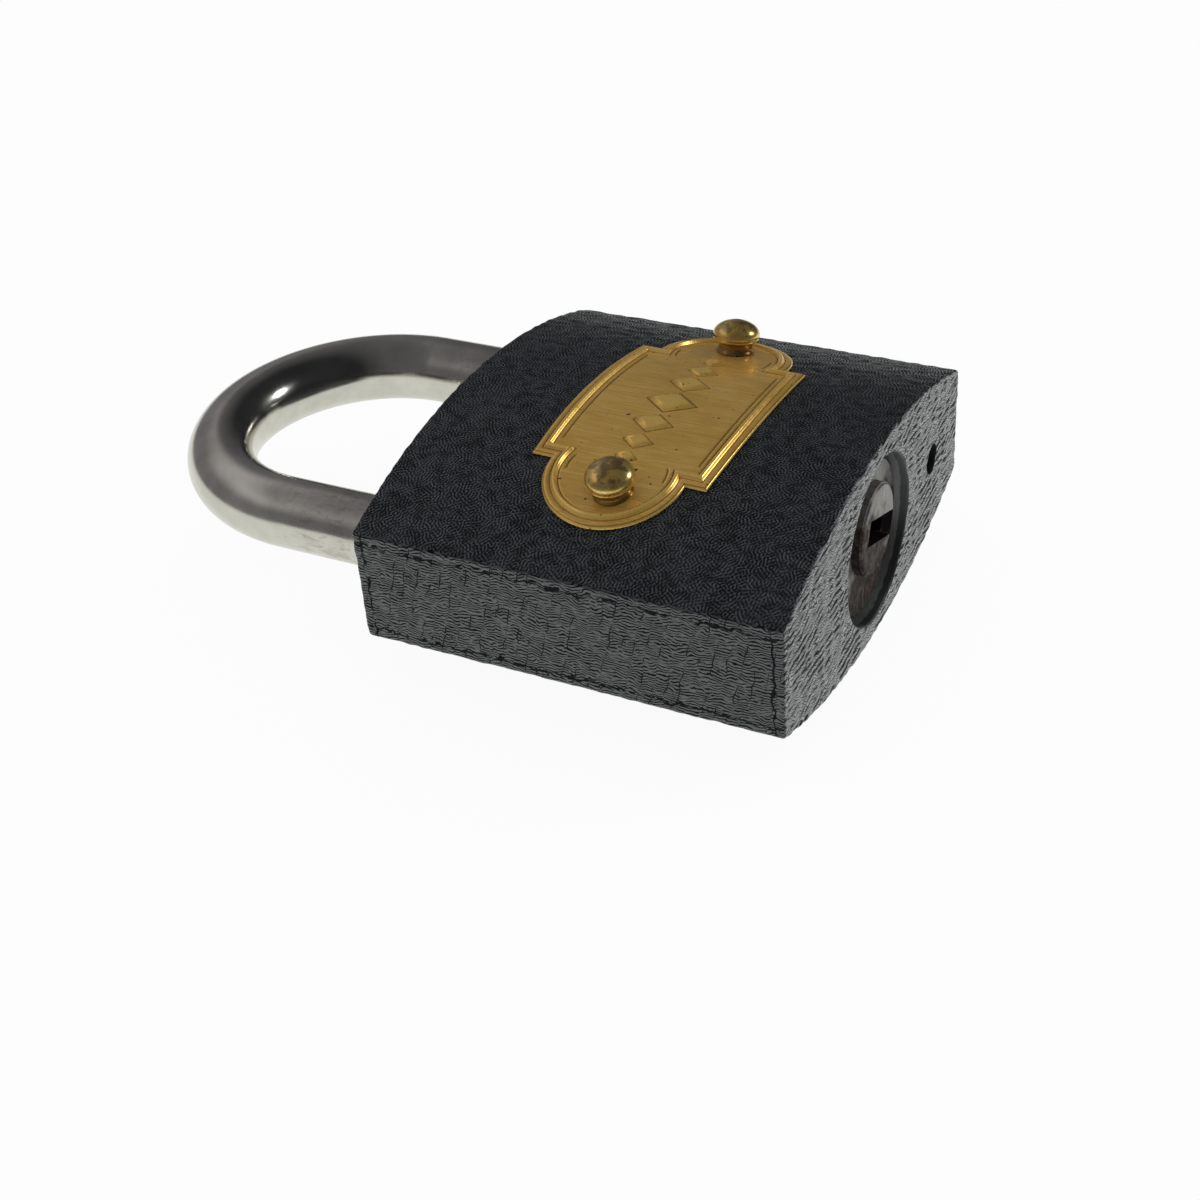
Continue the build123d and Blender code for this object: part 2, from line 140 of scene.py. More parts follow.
# Shackle
BAR_RADIUS = 3.738
STRAIGHT_ABOVE_BODY = 14.3
TOE_TIP_Y = 31.4
TOE_CHAMFER = 1.2
NOTCH_X = -14.7
NOTCH_Y = (33.6, 39.2)
NECK_RADIUS = 2.2
NECK_Y = (13.2, 30.8)
HEEL_TIP_Y = 10.2
BAR_SEGMENTS = 96
LEG_RINGS = 60
BEND_RINGS = 160
BAR_CREASE = 35

# Tumblers
TUMBLERS = 5

# Badge and rivets
BADGE_Y = 21.75
BADGE_TILT = math.radians(-1.7)
BADGE_GAP = 0.05
BADGE_THICKNESS = 0.35
BADGE_HALF_LENGTH = 11.75
BADGE_HALF_HEIGHT = 9.25
BADGE_BULGE = 0.4
NECK_X = 11.8
LOBE_CENTRE = 12.1
LOBE_RADIUS = 7.1
BEAD = (0.85, 1.45)
BEAD_HEIGHT = 0.34
BEAD_FULLNESS = 0.7
EDGE_INSETS = (0.0, 0.09, 0.22, 0.4)
EDGE_SLOPE = 0.8
FOOT_WIDTH = 0.2
FOOT_DEPTH = 0.07
LINE = (2.0, 2.25)
LINE_DEPTH = 0.08
LINE_LEAD = 1.8
LINED_SPANS = ((4, 117), (140, 152), (236, 248))
ARC_POINTS = 121
WALL_POINTS = 17
FIELD_INSET = 2.4
FIELD_CELL = 0.35
FIELD_REACH = (17.6, 8.0)
FIELD_SLACK = 0.01
SEED_GAP = 0.7 * FIELD_CELL
MERGE_DISTANCE = 1e-7
LOZENGES = ((0.0, 2.5), (4.1, 2.0), (7.3, 1.5), (9.9, 1.1))
LOZENGE_SLENDER = 0.72
LOZENGE_HEIGHT = 0.3
LOZENGE_SHARES = (0.78, 1.0, 1.1, 1.2)
LOZENGE_LIFTS = (LOZENGE_HEIGHT, 0.0, -FOOT_DEPTH, 0.0)
LOZENGE_MARGIN = 0.1
DENT_DEPTH = 0.012
DENT_WAVES = {"seed": 11, "count": 24, "shortest": 3.0, "longest": 9.0}
RIVET_X = 14.6
RIVET_Y = 21.2
RIVET_SEGMENTS = 72
HOLE_SEGMENTS = 48
HOLE_SHARE = 0.995
BADGE_CREASE = 60
RIVET_CREASE = 45

# Metal colours, as places along a ramp and their colours
BADGE_COLOURS = ((0.25, (0.74, 0.445, 0.1)), (0.5, (0.9, 0.558, 0.139)), (0.75, (0.97, 0.63, 0.187)))
# Browns for stain, and for painted shade on the walls in the key face's recess
STAIN_AND_SHADE_COLOURS = ((0.35, (0.016, 0.0125, 0.011)), (0.5, (0.042, 0.032, 0.027)), (0.68, (0.12, 0.096, 0.08)))

# The photograph's view
CAMERA_PLACE = Vector((-0.14442, -0.08768, 0.11209))
VIEW_AZIMUTH = math.radians(-61.03)
VIEW_ELEVATION = math.radians(35.18)
VIEW_ROLL = math.radians(4.66)
FIELD_OF_VIEW = math.radians(35.887)

# Studio
FLOOR_HALF = 3.0
FLOOR_GLOW = 0.94
FLOOR_COLOUR = (0.86, 0.86, 0.85, 1)
FLOOR_IN_METAL = (0.93, 0.95, 0.93, 1)
FLOOR_FAR = (0.17, 0.17, 0.175, 1)
FLOOR_FADE = (0.08, 0.28)
LIGHT_WALL = (-0.03, 1.0, 0.0)
DIM_WALL = (-0.35, 0.94, 0.0)
ROOM_DARK = (0.026, 0.027, 0.031, 1)
ROOM_DIM = (0.123, 0.122, 0.133, 1)
ROOM_LIGHT = (0.62, 0.595, 0.62, 1)
AMBIENT = (0.74, 0.75, 0.77, 1)
WHITE = (1, 1, 1, 1)
LIGHT_WALL_EDGE = (0.45, 0.62)
DIM_WALL_EDGE = (-0.2, 0.19)
CEILING_EDGE = (0.6, 0.89)
CEILING_SHARE = 0.39
TABLE_EDGE = (0.34, 0.75)
TABLE_SHARE = 0.17
WINDOW_TOWARDS = (0.519, -0.723, 0.457)
WINDOW_DISTANCE = 0.6
WINDOW_SIZE = 0.08
WINDOW_WATTS = 0.6
WINDOW_COLOUR = (0.95, 0.98, 1.0)

# Worked out from the sizes above
face_sagitta = (BODY_THICKNESS - EDGE_THICKNESS) / 2
face_radius = ((BODY_WIDTH / 2) ** 2 + face_sagitta**2) / (2 * face_sagitta)
face_centre_z = BODY_THICKNESS / 2 - face_radius


def link(obj):
    bpy.context.scene.collection.objects.link(obj)
    return obj


def make_object(name, points, faces):
    """A smooth-shaded mesh object from points in millimetres in the lock's own frame."""
    mesh = bpy.data.meshes.new(name)
    placed = (np.asarray(points, dtype=float) + ROW_SHIFT) * MM
    mesh.from_pydata(placed.tolist(), [], faces)
    mesh.validate()
    mesh.shade_smooth()
    return link(bpy.data.objects.new(name, mesh))


def bake(obj):
    """Turns an object's modifiers into its mesh."""
    graph = bpy.context.evaluated_depsgraph_get()
    mesh = bpy.data.meshes.new_from_object(obj.evaluated_get(graph))
    obj.modifiers.clear()
    obj.data = mesh


def cut(obj, cutters):
    """Takes each cutter out of a closed mesh, and deletes the cutters."""
    for cutter in cutters:
        step = obj.modifiers.new("cut", "BOOLEAN")
        step.object = cutter
        step.operation = "DIFFERENCE"
        step.solver = "MANIFOLD"
    bake(obj)
    for cutter in cutters:
        bpy.data.objects.remove(cutter)


def sharpen(obj, degrees):
    obj.data.set_sharp_from_angle(angle=math.radians(degrees))


def frame_along(direction):
    """Two directions across a direction, which complete it to a right-handed frame."""
    along = np.asarray(direction, dtype=float)
    along /= np.linalg.norm(along)
    helper = np.array((0.0, 0.0, 1.0)) if abs(along[2]) < 0.9 else np.array((1.0, 0.0, 0.0))
    side = np.cross(helper, along)
    side /= np.linalg.norm(side)
    return side, np.cross(along, side), along


def lathe(name, start, direction, profile, segments):
    """A closed turned piece: profile is (radius, height) from one end of the axis to the other."""
    side, up, along = frame_along(direction)
    angles = np.arange(segments) * (2 * math.pi / segments)
    around = np.cos(angles)[:, None] * side + np.sin(angles)[:, None] * up
    start = np.asarray(start, dtype=float)
    points = [start + along * profile[0][1]]
    for radius, height in profile[1:-1]:
        points.extend(start + around * radius + along * height)
    points.append(start + along * profile[-1][1])
    rings = len(profile) - 2
    last = len(points) - 1
    faces = [(0, 1 + (i + 1) % segments, 1 + i) for i in range(segments)]
    for ring in range(rings - 1):
        a, b = 1 + ring * segments, 1 + (ring + 1) * segments
        faces += [(a + i, a + (i + 1) % segments, b + (i + 1) % segments, b + i) for i in range(segments)]
    a = 1 + (rings - 1) * segments
    faces += [(last, a + i, a + (i + 1) % segments) for i in range(segments)]
    return make_object(name, points, faces)


def rod(start, direction, radius, length):
    profile = [(0, 0), (radius, 0), (radius, length), (0, length)]
    return lathe("cutter", start, direction, profile, ROD_SEGMENTS)


def block(x_range, y_range, z_range):
    corners = [(x, y, z) for x in x_range for y in y_range for z in z_range]
    faces = [(0, 1, 3, 2), (4, 6, 7, 5), (0, 4, 5, 1), (2, 3, 7, 6), (0, 2, 6, 4), (1, 5, 7, 3)]
    return make_object("cutter", corners, faces)


def waves(points, seed, count, shortest, longest):
    """A smooth random height at each point, about -1 to 1, from plane waves in random directions."""
    random = np.random.default_rng(seed)
    total = np.zeros(len(points))
    for _ in range(count):
        direction = random.normal(size=3)
        direction /= np.linalg.norm(direction)
        number = 2 * math.pi / random.uniform(shortest, longest)
        total += np.cos(points @ (direction * number) + random.uniform(0, 2 * math.pi))
    return np.clip(total / math.sqrt(2 * count), -1, 1)


# Body casting

def body_section():
    """Half the body's cross-section as core points and outward normals: the front, then the right side."""
    r = LONG_EDGE_RADIUS
    core_x = BODY_WIDTH / 2 - r
    core_z = face_centre_z + math.sqrt((face_radius - r) ** 2 - core_x**2)
    lean = math.atan2(core_x, core_z - face_centre_z)
    middle = (math.pi / 2 + lean) / 2
    fine = 2000
    front = []
    for t in np.linspace(-middle, middle, fine):
        n = max(-lean, min(lean, t))
        if abs(t) <= lean:
            core = ((face_radius - r) * math.sin(n), face_centre_z + (face_radius - r) * math.cos(n))
        else:
            core = (math.copysign(core_x, t), core_z)
        front.append((*core, math.sin(t), math.cos(t)))
    bend = math.pi / 2 - middle
    side = [(core_x, core_z, math.sin(math.pi / 2 - t), math.cos(math.pi / 2 - t))
            for t in np.linspace(bend, 0, BEND_POINTS)]
    side += [(core_x, z, 1.0, 0.0) for z in np.linspace(core_z, -core_z, fine)[1:-1]]
    side += [(core_x, -core_z, math.cos(t), -math.sin(t)) for t in np.linspace(0, bend, BEND_POINTS)]
    return np.array(front), np.array(side)


def even(curve, cells):
    """A cross-section curve with its points spread evenly along its outer line."""
    outer = curve[:, :2] + LONG_EDGE_RADIUS * curve[:, 2:]
    run = np.concatenate(([0], np.cumsum(np.linalg.norm(np.diff(outer, axis=0), axis=1))))
    places = np.linspace(0, run[-1], cells + 1)
    evened = np.stack([np.interp(places, run, curve[:, k]) for k in range(4)], axis=1)
    evened[:, 2:] /= np.linalg.norm(evened[:, 2:], axis=1)[:, None]
    return evened


def body_blank():
    """The painted casting before its bores: a lens-shaped prism with rounded edges and a wavy skin."""
    front, side = body_section()
    front, side = even(front, FRONT_CELLS), even(side, SIDE_CELLS)
    flip = np.array((-1, -1, -1, -1))
    loop = np.concatenate((front[:-1], side[:-1], (front * flip)[:-1], (side * flip)[:-1]))
    count = len(loop)
    rows = []
    for t in np.linspace(0, math.pi / 2, EDGE_CELLS + 1):
        rows.append((END_EDGE_RADIUS * (1 - math.cos(t)), END_EDGE_RADIUS * (1 - math.sin(t)), -math.cos(t)))
    inner = np.linspace(END_EDGE_RADIUS, BODY_HEIGHT - END_EDGE_RADIUS, LENGTH_CELLS + 1)[1:-1]
    rows += [(y, 0.0, 0.0) for y in inner]
    for y, inset, lean in rows[EDGE_CELLS::-1]:
        rows.append((BODY_HEIGHT - y, inset, -lean))
    points, normals = [], []
    for y, inset, lean in rows:
        flat = loop[:, :2] + (LONG_EDGE_RADIUS - inset) * loop[:, 2:]
        points.append(np.stack((flat[:, 0], np.full(count, y), flat[:, 1]), axis=1))
        out = math.sqrt(1 - lean**2)
        normals.append(np.stack((out * loop[:, 2], np.full(count, lean), out * loop[:, 3]), axis=1))
    points, normals = np.concatenate(points), np.concatenate(normals)
    faces = []
    for row in range(len(rows) - 1):
        a, b = row * count, (row + 1) * count
        faces += [(a + i, a + (i + 1) % count, b + (i + 1) % count, b + i) for i in range(count)]
    for row, lean in ((0, -1.0), (len(rows) - 1, 1.0)):
        points, normals, faces = add_end(points, normals, faces, row * count, lean)
    depth = PAINT_DEPTH - PAINT_WAVE * waves(points, **SKIN_WAVES)
    return make_object("padlock_body", points - normals * depth[:, None], faces)


def add_end(points, normals, faces, first, lean):
    """Closes one end of the body with a grid that runs between the four sides of its loop."""
    nf, ns = FRONT_CELLS, SIDE_CELLS
    total = 2 * (nf + ns)
    front = [first + i for i in range(nf + 1)]
    right = [first + nf + j for j in range(ns + 1)]
    back = [first + (2 * nf + ns - i) % total for i in range(nf + 1)]
    left = [first + (total - j) % total for j in range(ns + 1)]
    grid = np.zeros((nf + 1, ns + 1), dtype=int)
    grid[:, 0], grid[:, ns] = front, back
    grid[0, :], grid[nf, :] = left, right
    u = np.linspace(0, 1, nf + 1)[1:-1, None, None]
    v = np.linspace(0, 1, ns + 1)[None, 1:-1, None]
    f, b = points[front][1:-1, None], points[back][1:-1, None]
    lft, rgt = points[left][None, 1:-1], points[right][None, 1:-1]
    c00, c10 = points[front[0]], points[front[-1]]
    c01, c11 = points[back[0]], points[back[-1]]
    inside = (1 - v) * f + v * b + (1 - u) * lft + u * rgt
    inside -= (1 - u) * (1 - v) * c00 + u * (1 - v) * c10 + (1 - u) * v * c01 + u * v * c11
    start = len(points)
    grid[1:-1, 1:-1] = start + np.arange((nf - 1) * (ns - 1)).reshape(nf - 1, ns - 1)
    inside = inside.reshape(-1, 3)
    points = np.concatenate((points, inside))
    normals = np.concatenate((normals, np.tile((0.0, lean, 0.0), (len(inside), 1))))
    for i in range(nf):
        for j in range(ns):
            quad = (grid[i, j], grid[i, j + 1], grid[i + 1, j + 1], grid[i + 1, j])
            faces.append(tuple(int(k) for k in (quad if lean < 0 else quad[::-1])))
    return points, normals, faces


def rivet_place(side):
    """A rivet's seat on the badge's outer face, and the direction that its head points in."""
    lean = math.asin(side * RIVET_X / face_radius)
    out = np.array((math.sin(lean), 0.0, math.cos(lean)))
    reach = face_radius + BADGE_GAP + BADGE_THICKNESS
    return np.array((0.0, RIVET_Y, face_centre_z)) + reach * out, out


def lock_body():
    """The casting with the bores that its moving pieces run in."""
    body = body_blank()
    beyond = 2.0
    mouth = BORE_RADIUS + BORE_CHAMFER
    bore = [(0, -beyond), (mouth, -beyond), (mouth, 0)]
    bore += [(BORE_RADIUS, BORE_CHAMFER), (BORE_RADIUS, BORE_END_Y), (0, BORE_END_Y)]
    cutters = [lathe("cutter", (0, 0, 0), (0, 1, 0), bore, BORE_SEGMENTS)]
    overlap = 0.2
    cutters.append(block(CHANNEL_X, (BORE_END_Y - overlap, CHANNEL_TOP_Y), (-CHANNEL_HALF_Z, CHANNEL_HALF_Z)))
    sweep = CHANNEL_TOP_Y - BORE_END_Y + overlap
    cutters.append(rod((0, BORE_END_Y - overlap, PLUG_OFFSET), (0, 1, 0), CRANK_SWEEP_RADIUS, sweep))
    for x, floor_y in ((-LEG_X, TOE_FLOOR_Y), (LEG_X, HEEL_WALL)):
        cutters.append(rod((x, floor_y, 0), (0, 1, 0), LEG_BORE_RADIUS, BODY_HEIGHT + beyond - floor_y))
    cutters.append(rod((LEG_X, -beyond, 0), (0, 1, 0), DRAIN_RADIUS, HEEL_WALL + 2 * beyond))
    cutters.append(rod((0, RETAINER_Y, 0), (1, 0, 0), PIN_HOLE_RADIUS, LEG_X))
    cutters.append(rod((0, CYLINDER_PIN_Y, CYLINDER_PIN_FLOOR_Z), (0, 0, 1), PIN_HOLE_RADIUS, BODY_THICKNESS))
    for side in (-1, 1):
        seat, out = rivet_place(side)
        cutters.append(rod(seat - out * RIVET_HOLE_DEPTH, out, RIVET_HOLE_RADIUS, RIVET_HOLE_DEPTH + beyond))
    # Slot 0 is for the paint, slot 1 for the walls that the cutters leave
    for piece in [body, *cutters]:
        piece.data.materials.append(None)
        piece.data.materials.append(None)
    for cutter in cutters:
        cutter.data.polygons.foreach_set("material_index", [1] * len(cutter.data.polygons))
    cut(body, cutters)
    sharpen(body, BODY_CREASE)
    return body


# Shackle

def shackle():
    """The bent bar with its bevelled toe, the bolt's notch and the heel's turned neck."""
    bend_y = BODY_HEIGHT + STRAIGHT_ABOVE_BODY
    rings = [((-LEG_X, TOE_TIP_Y), (0, 1), BAR_RADIUS - TOE_CHAMFER)]
    rings.append(((-LEG_X, TOE_TIP_Y + TOE_CHAMFER), (0, 1), BAR_RADIUS))
    toe_leg = np.linspace(TOE_TIP_Y + TOE_CHAMFER, bend_y, LEG_RINGS)
    rings += [((-LEG_X, y), (0, 1), BAR_RADIUS) for y in toe_leg[1:]]
    for t in np.linspace(math.pi, 0, BEND_RINGS)[1:]:
        c, s = math.cos(t), math.sin(t)
        rings.append(((LEG_X * c, bend_y + LEG_X * s), (s, -c), BAR_RADIUS))
    neck_low, neck_high = NECK_Y
    rings += [((LEG_X, y), (0, -1), BAR_RADIUS) for y in np.linspace(bend_y, neck_high, LEG_RINGS)[1:]]
    heel = ((neck_high, NECK_RADIUS), (neck_low, NECK_RADIUS),
            (neck_low, BAR_RADIUS), (HEEL_TIP_Y, BAR_RADIUS))
    rings += [((LEG_X, y), (0, -1), radius) for y, radius in heel]
    count = BAR_SEGMENTS
    angles = np.arange(count) * (2 * math.pi / count)
    points = []
    for (x, y), (dx, dy), radius in rings:
        level, upright = np.array((dy, -dx, 0.0)), np.array((0, 0, 1.0))
        across = np.cos(angles)[:, None] * level + np.sin(angles)[:, None] * upright
        points.extend(np.array((x, y, 0.0)) + radius * across)
    faces = []
    for ring in range(len(rings) - 1):
        a, b = ring * count, (ring + 1) * count
        faces += [(a + i, b + i, b + (i + 1) % count, a + (i + 1) % count) for i in range(count)]
    faces.append(tuple(range(count)))
    last = (len(rings) - 1) * count
    faces.append(tuple(last + i for i in reversed(range(count))))
    bar = make_object("shackle_bar", points, faces)
    cut(bar, [block((NOTCH_X, 0), NOTCH_Y, (-LEG_X, LEG_X))])
    sharpen(bar, BAR_CREASE)
    return bar


# Badge

def badge_ring(inset):
    """The badge's outline moved in by an inset, with sharp corners, as flat points."""
    top_radius = (BADGE_HALF_LENGTH**2 + BADGE_BULGE**2) / (2 * BADGE_BULGE) - inset
    top_centre = BADGE_HALF_HEIGHT + BADGE_BULGE - inset - top_radius
    wall_x = (BADGE_HALF_LENGTH + NECK_X) / 2 - inset
    lobe = LOBE_RADIUS - inset
    corner_y = top_centre + math.sqrt(top_radius**2 - wall_x**2)
    neck_y = math.sqrt(lobe**2 - (LOBE_CENTRE - wall_x) ** 2)
    turn = math.atan2(neck_y, wall_x - LOBE_CENTRE)
    along = np.linspace(-wall_x, wall_x, ARC_POINTS)
    top = [(x, top_centre + math.sqrt(top_radius**2 - x**2)) for x in along]
    wall = [(wall_x, y) for y in np.linspace(corner_y, neck_y, WALL_POINTS)]
    turns = np.linspace(turn, -turn, ARC_POINTS)
    end = [(LOBE_CENTRE + lobe * math.cos(t), lobe * math.sin(t)) for t in turns]
    half = np.array(top[:-1] + wall[:-1] + end[:-1] + [(x, -y) for x, y in wall[::-1][:-1]])
    return np.concatenate((half, -half))


def ring_places(count):
    """For each point of a badge ring, 1 where the line is engraved and 0 elsewhere."""
    lined = np.zeros(count)
    for start in (0, count // 2):
        for first, last in LINED_SPANS:
            lined[start + first : start + last] = 1
    return lined


def badge_height(inset):
    """Height of the pressed sheet's top over its back at an inset from its edge."""
    low, high = BEAD
    if low < inset < high:
        swell = math.sin(math.pi * (inset - low) / (high - low)) ** BEAD_FULLNESS
        return BADGE_THICKNESS + BEAD_HEIGHT * swell
    if low - FOOT_WIDTH < inset < low or high < inset < high + FOOT_WIDTH:
        return BADGE_THICKNESS - FOOT_DEPTH
    return BADGE_THICKNESS


def lozenges():
    """The middle and half-height of each lozenge in the row along the badge's middle."""
    return [(side * x, size) for x, size in LOZENGES for side in ((-1, 1) if x else (1,))]


def lozenge_lines():
    """Flat points and edges of every lozenge: its top, foot and groove, and the ridges between them."""
    points, edges = [], []
    for x, size in lozenges():
        first = len(points)
        for share in LOZENGE_SHARES:
            wide, high = share * LOZENGE_SLENDER * size, share * size
            points += [(x + wide, 0), (x, high), (x - wide, 0), (x, -high)]
        for ring in range(len(LOZENGE_SHARES)):
            loop = [first + 4 * ring + i for i in range(4)]
            edges += [(loop[i], loop[(i + 1) % 4]) for i in range(4)]
            if ring:
                edges += [(i - 4, i) for i in loop]
    return np.array(points), edges


def lozenge_reach(flat):
    """How far each flat point lies from the nearest lozenge's middle: 1 is on that lozenge's foot."""
    x, y = flat[:, 0], np.abs(flat[:, 1])
    reach = [np.abs(x - middle) / (LOZENGE_SLENDER * size) + y / size for middle, size in lozenges()]
    return np.min(reach, axis=0)


def over_face(flat, lift):
    """Flat badge points laid on the bowed face at a lift above it."""
    x = flat[:, 0] * math.cos(BADGE_TILT) - flat[:, 1] * math.sin(BADGE_TILT)
    y = flat[:, 0] * math.sin(BADGE_TILT) + flat[:, 1] * math.cos(BADGE_TILT) + BADGE_Y
    return np.stack((x, y, face_centre_z + np.sqrt((face_radius + lift) ** 2 - x**2)), axis=1)


def badge_hole(side):
    """A rivet hole's edge as flat badge points."""
    x, y = side * RIVET_X, RIVET_Y - BADGE_Y
    c, s = math.cos(-BADGE_TILT), math.sin(-BADGE_TILT)
    middle = np.array((x * c - y * s, x * s + y * c))
    angles = np.arange(HOLE_SEGMENTS) * (2 * math.pi / HOLE_SEGMENTS)
    return middle, middle + RIVET_HOLE_RADIUS * np.stack((np.cos(angles), np.sin(angles)), axis=1)


def inside_ring(flat, ring):
    """Which flat points lie inside a closed ring."""
    a, b = ring, np.roll(ring, -1, axis=0)
    x, y = flat[:, :1], flat[:, 1:]
    spans = (a[:, 1] > y) != (b[:, 1] > y)
    with np.errstate(divide="ignore", invalid="ignore"):
        cross = a[:, 0] + (y - a[:, 1]) * (b[:, 0] - a[:, 0]) / (b[:, 1] - a[:, 1])
    return (np.sum(spans & (x < cross), axis=1) % 2).astype(bool)


def badge():
    """The pressed brass sheet: edge, bead, engraved line and field, closed by a plain back."""
    low, high = BEAD
    insets = [*EDGE_INSETS, low - FOOT_WIDTH, low - FOOT_WIDTH / 2]
    insets += list(np.linspace(low, high, 9)) + [high + FOOT_WIDTH / 2, high + FOOT_WIDTH, LINE_LEAD]
    insets += list(np.linspace(*LINE, 5)) + [FIELD_INSET]
    rings = [badge_ring(d) for d in insets]
    count = len(rings[0])
    lined = ring_places(count)
    tops = []
    for d, ring in zip(insets, rings):
        lift = np.full(count, badge_height(d))
        if d < insets[2]:
            lift -= (insets[2] - d) * EDGE_SLOPE
        if LINE[0] < d < LINE[1]:
            lift -= lined * LINE_DEPTH * math.sin(math.pi * (d - LINE[0]) / (LINE[1] - LINE[0]))
        tops.append((ring, lift))
    field_ring = rings[-1]
    holes = [badge_hole(side) for side in (-1, 1)]
    xs, ys = np.meshgrid(*[np.arange(-far, far + FIELD_SLACK, FIELD_CELL) for far in FIELD_REACH])
    seeds = np.stack((xs.ravel(), ys.ravel()), axis=1)
    seeds = seeds[inside_ring(seeds, field_ring)]
    gap = np.min(np.linalg.norm(seeds[:, None] - field_ring[None], axis=2), axis=1)
    seeds = seeds[gap > SEED_GAP]
    for middle, _ in holes:
        seeds = seeds[np.linalg.norm(seeds - middle, axis=1) > RIVET_HOLE_RADIUS + SEED_GAP]
    reach = lozenge_reach(seeds)
    inner, outer = LOZENGE_SHARES[0] - LOZENGE_MARGIN, LOZENGE_SHARES[-1] + LOZENGE_MARGIN
    seeds = seeds[(reach < inner) | (reach > outer)]
    outline = [field_ring] + [edge for _, edge in holes]
    edges, base = [], 0
    for loop in outline:
        edges += [(base + i, base + (i + 1) % len(loop)) for i in range(len(loop))]
        base += len(loop)
    corners, ridges = lozenge_lines()
    edges += [(base + i, base + k) for i, k in ridges]
    flat = np.concatenate(outline + [corners, seeds])
    found = delaunay_2d_cdt([Vector(p) for p in flat], edges, [], 0, MERGE_DISTANCE)
    field = np.array([tuple(p) for p in found[0]])
    triangles = np.array(found[2])
    middles = field[triangles].mean(axis=1)
    keep = inside_ring(middles, field_ring)
    for middle, _ in holes:
        keep &= np.linalg.norm(middles - middle, axis=1) > RIVET_HOLE_RADIUS * HOLE_SHARE
    triangles = triangles[keep]
    field_lift = BADGE_THICKNESS + np.interp(lozenge_reach(field), LOZENGE_SHARES, LOZENGE_LIFTS)

    layers = tops[:-1] + [(field, field_lift)]
    first_field = count * (len(tops) - 1)
    top_count = first_field + len(field)
    flat_all = np.concatenate([ring for ring, _ in layers])
    lift_all = np.concatenate([lift for _, lift in layers])
    dents = waves(np.pad(flat_all, ((0, 0), (0, 1))), **DENT_WAVES) * DENT_DEPTH
    shell_top = over_face(flat_all, BADGE_GAP + lift_all + dents - DENT_DEPTH)
    shell_low = over_face(flat_all, BADGE_GAP)
    faces = []
    for row in range(len(tops) - 1):
        a, b = row * count, (row + 1) * count
        faces += [(a + i, b + i, b + (i + 1) % count, a + (i + 1) % count) for i in range(count)]
    faces += [tuple(int(first_field + k) for k in t) for t in triangles]
    low = [tuple(top_count + k for k in reversed(f)) for f in faces]
    rim = [(i, (i + 1) % count, top_count + (i + 1) % count, top_count + i) for i in range(count)]
    base = first_field + count
    for _, edge in holes:
        n = len(edge)
        for i in range(n):
            a, b = base + i, base + (i + 1) % n
            rim.append((b, a, top_count + a, top_count + b))
        base += n
    plate = make_object("badge_sheet", np.concatenate((shell_top, shell_low)), faces + low + rim)
    clean = bmesh.new()
    clean.from_mesh(plate.data)
    bmesh.ops.recalc_face_normals(clean, faces=clean.faces)
    clean.to_mesh(plate.data)
    clean.free()
    sharpen(plate, BADGE_CREASE)
    return plate


def rivet(name, side):
    """A drive rivet with a softened dome, a grooved skirt and a flared neck."""
    seat, out = rivet_place(side)
    shank = [(0, -3.6), (1.1, -3.6), (1.2, -3.5), (1.2, 0.0)]
    neck = [(1.92, 0.0), (1.98, 0.06), (1.95, 0.16), (1.84, 0.3), (1.76, 0.5), (1.74, 0.85), (1.8, 1.02)]
    skirt = [(1.96, 1.12), (2.16, 1.22), (2.3, 1.34), (2.36, 1.44)]
    skirt += [(2.36, 1.5), (2.31, 1.55), (2.3, 1.6), (2.36, 1.66)]
    profile = shank + neck + skirt
    rim_y, crown_y, widest = 1.84, 3.37, 2.45
    dimple, dimple_depth = 0.75, 0.07
    for t in np.radians(np.linspace(-6, 89, 30)):
        r, h = widest * math.cos(t), rim_y + (crown_y - rim_y) * math.sin(t)
        profile.append((r, h - dimple_depth * max(0, 1 - (r / dimple) ** 2) ** 2))
    profile.append((0, crown_y - dimple_depth))
    head = lathe(name, seat, out, profile, RIVET_SEGMENTS)
    sharpen(head, RIVET_CREASE)
    return head


# Materials

def add(tree, kind, inputs=None, **settings):
    """A shader node with its settings, and its inputs set to values or joined to other outputs."""
    node = tree.nodes.new(kind)
    for key, value in settings.items():
        setattr(node, key, value)
    for key, value in (inputs or {}).items():
        join(tree, node.inputs[key], value)
    return node


def join(tree, socket, value):
    if isinstance(value, bpy.types.NodeSocket):
        tree.links.new(value, socket)
    else:
        socket.default_value = value


def new_material(name, **inputs):
    """A material with one Principled shader, whose plain values are set at once."""
    material = bpy.data.materials.new(name)
    material.use_nodes = True
    shader = material.node_tree.nodes["Principled BSDF"]
    for key, value in inputs.items():
        shader.inputs[key.replace("_", " ").title().replace("Ior", "IOR")].default_value = value
    return material, material.node_tree, shader


def feed(shader, name, value):
    """Joins a value to an input of a material's shader."""
    join(shader.id_data, shader.inputs[name], value)


def place(tree):
    """Places on the piece, in metres in the row frame at rest."""
    return add(tree, "ShaderNodeTexCoord").outputs["Object"]


def moved(tree, vector, shift_mm=(0, 0, 0), stretch=(1, 1, 1)):
    """Places shifted by millimetres and then stretched along each axis."""
    shift = add(tree, "ShaderNodeVectorMath", {0: vector, 1: [v * MM for v in shift_mm]}, operation="ADD")
    scale = add(tree, "ShaderNodeVectorMath", {0: shift.outputs[0], 1: stretch}, operation="MULTIPLY")
    return scale.outputs[0]


def noise(tree, vector, grain_mm, detail=3.0, rough=0.55):
    """Smooth random values from 0 to 1 with a grain of a size in millimetres."""
    inputs = {"Vector": vector, "Scale": 1 / (grain_mm * MM), "Detail": detail, "Roughness": rough}
    return add(tree, "ShaderNodeTexNoise", inputs).outputs["Fac"]


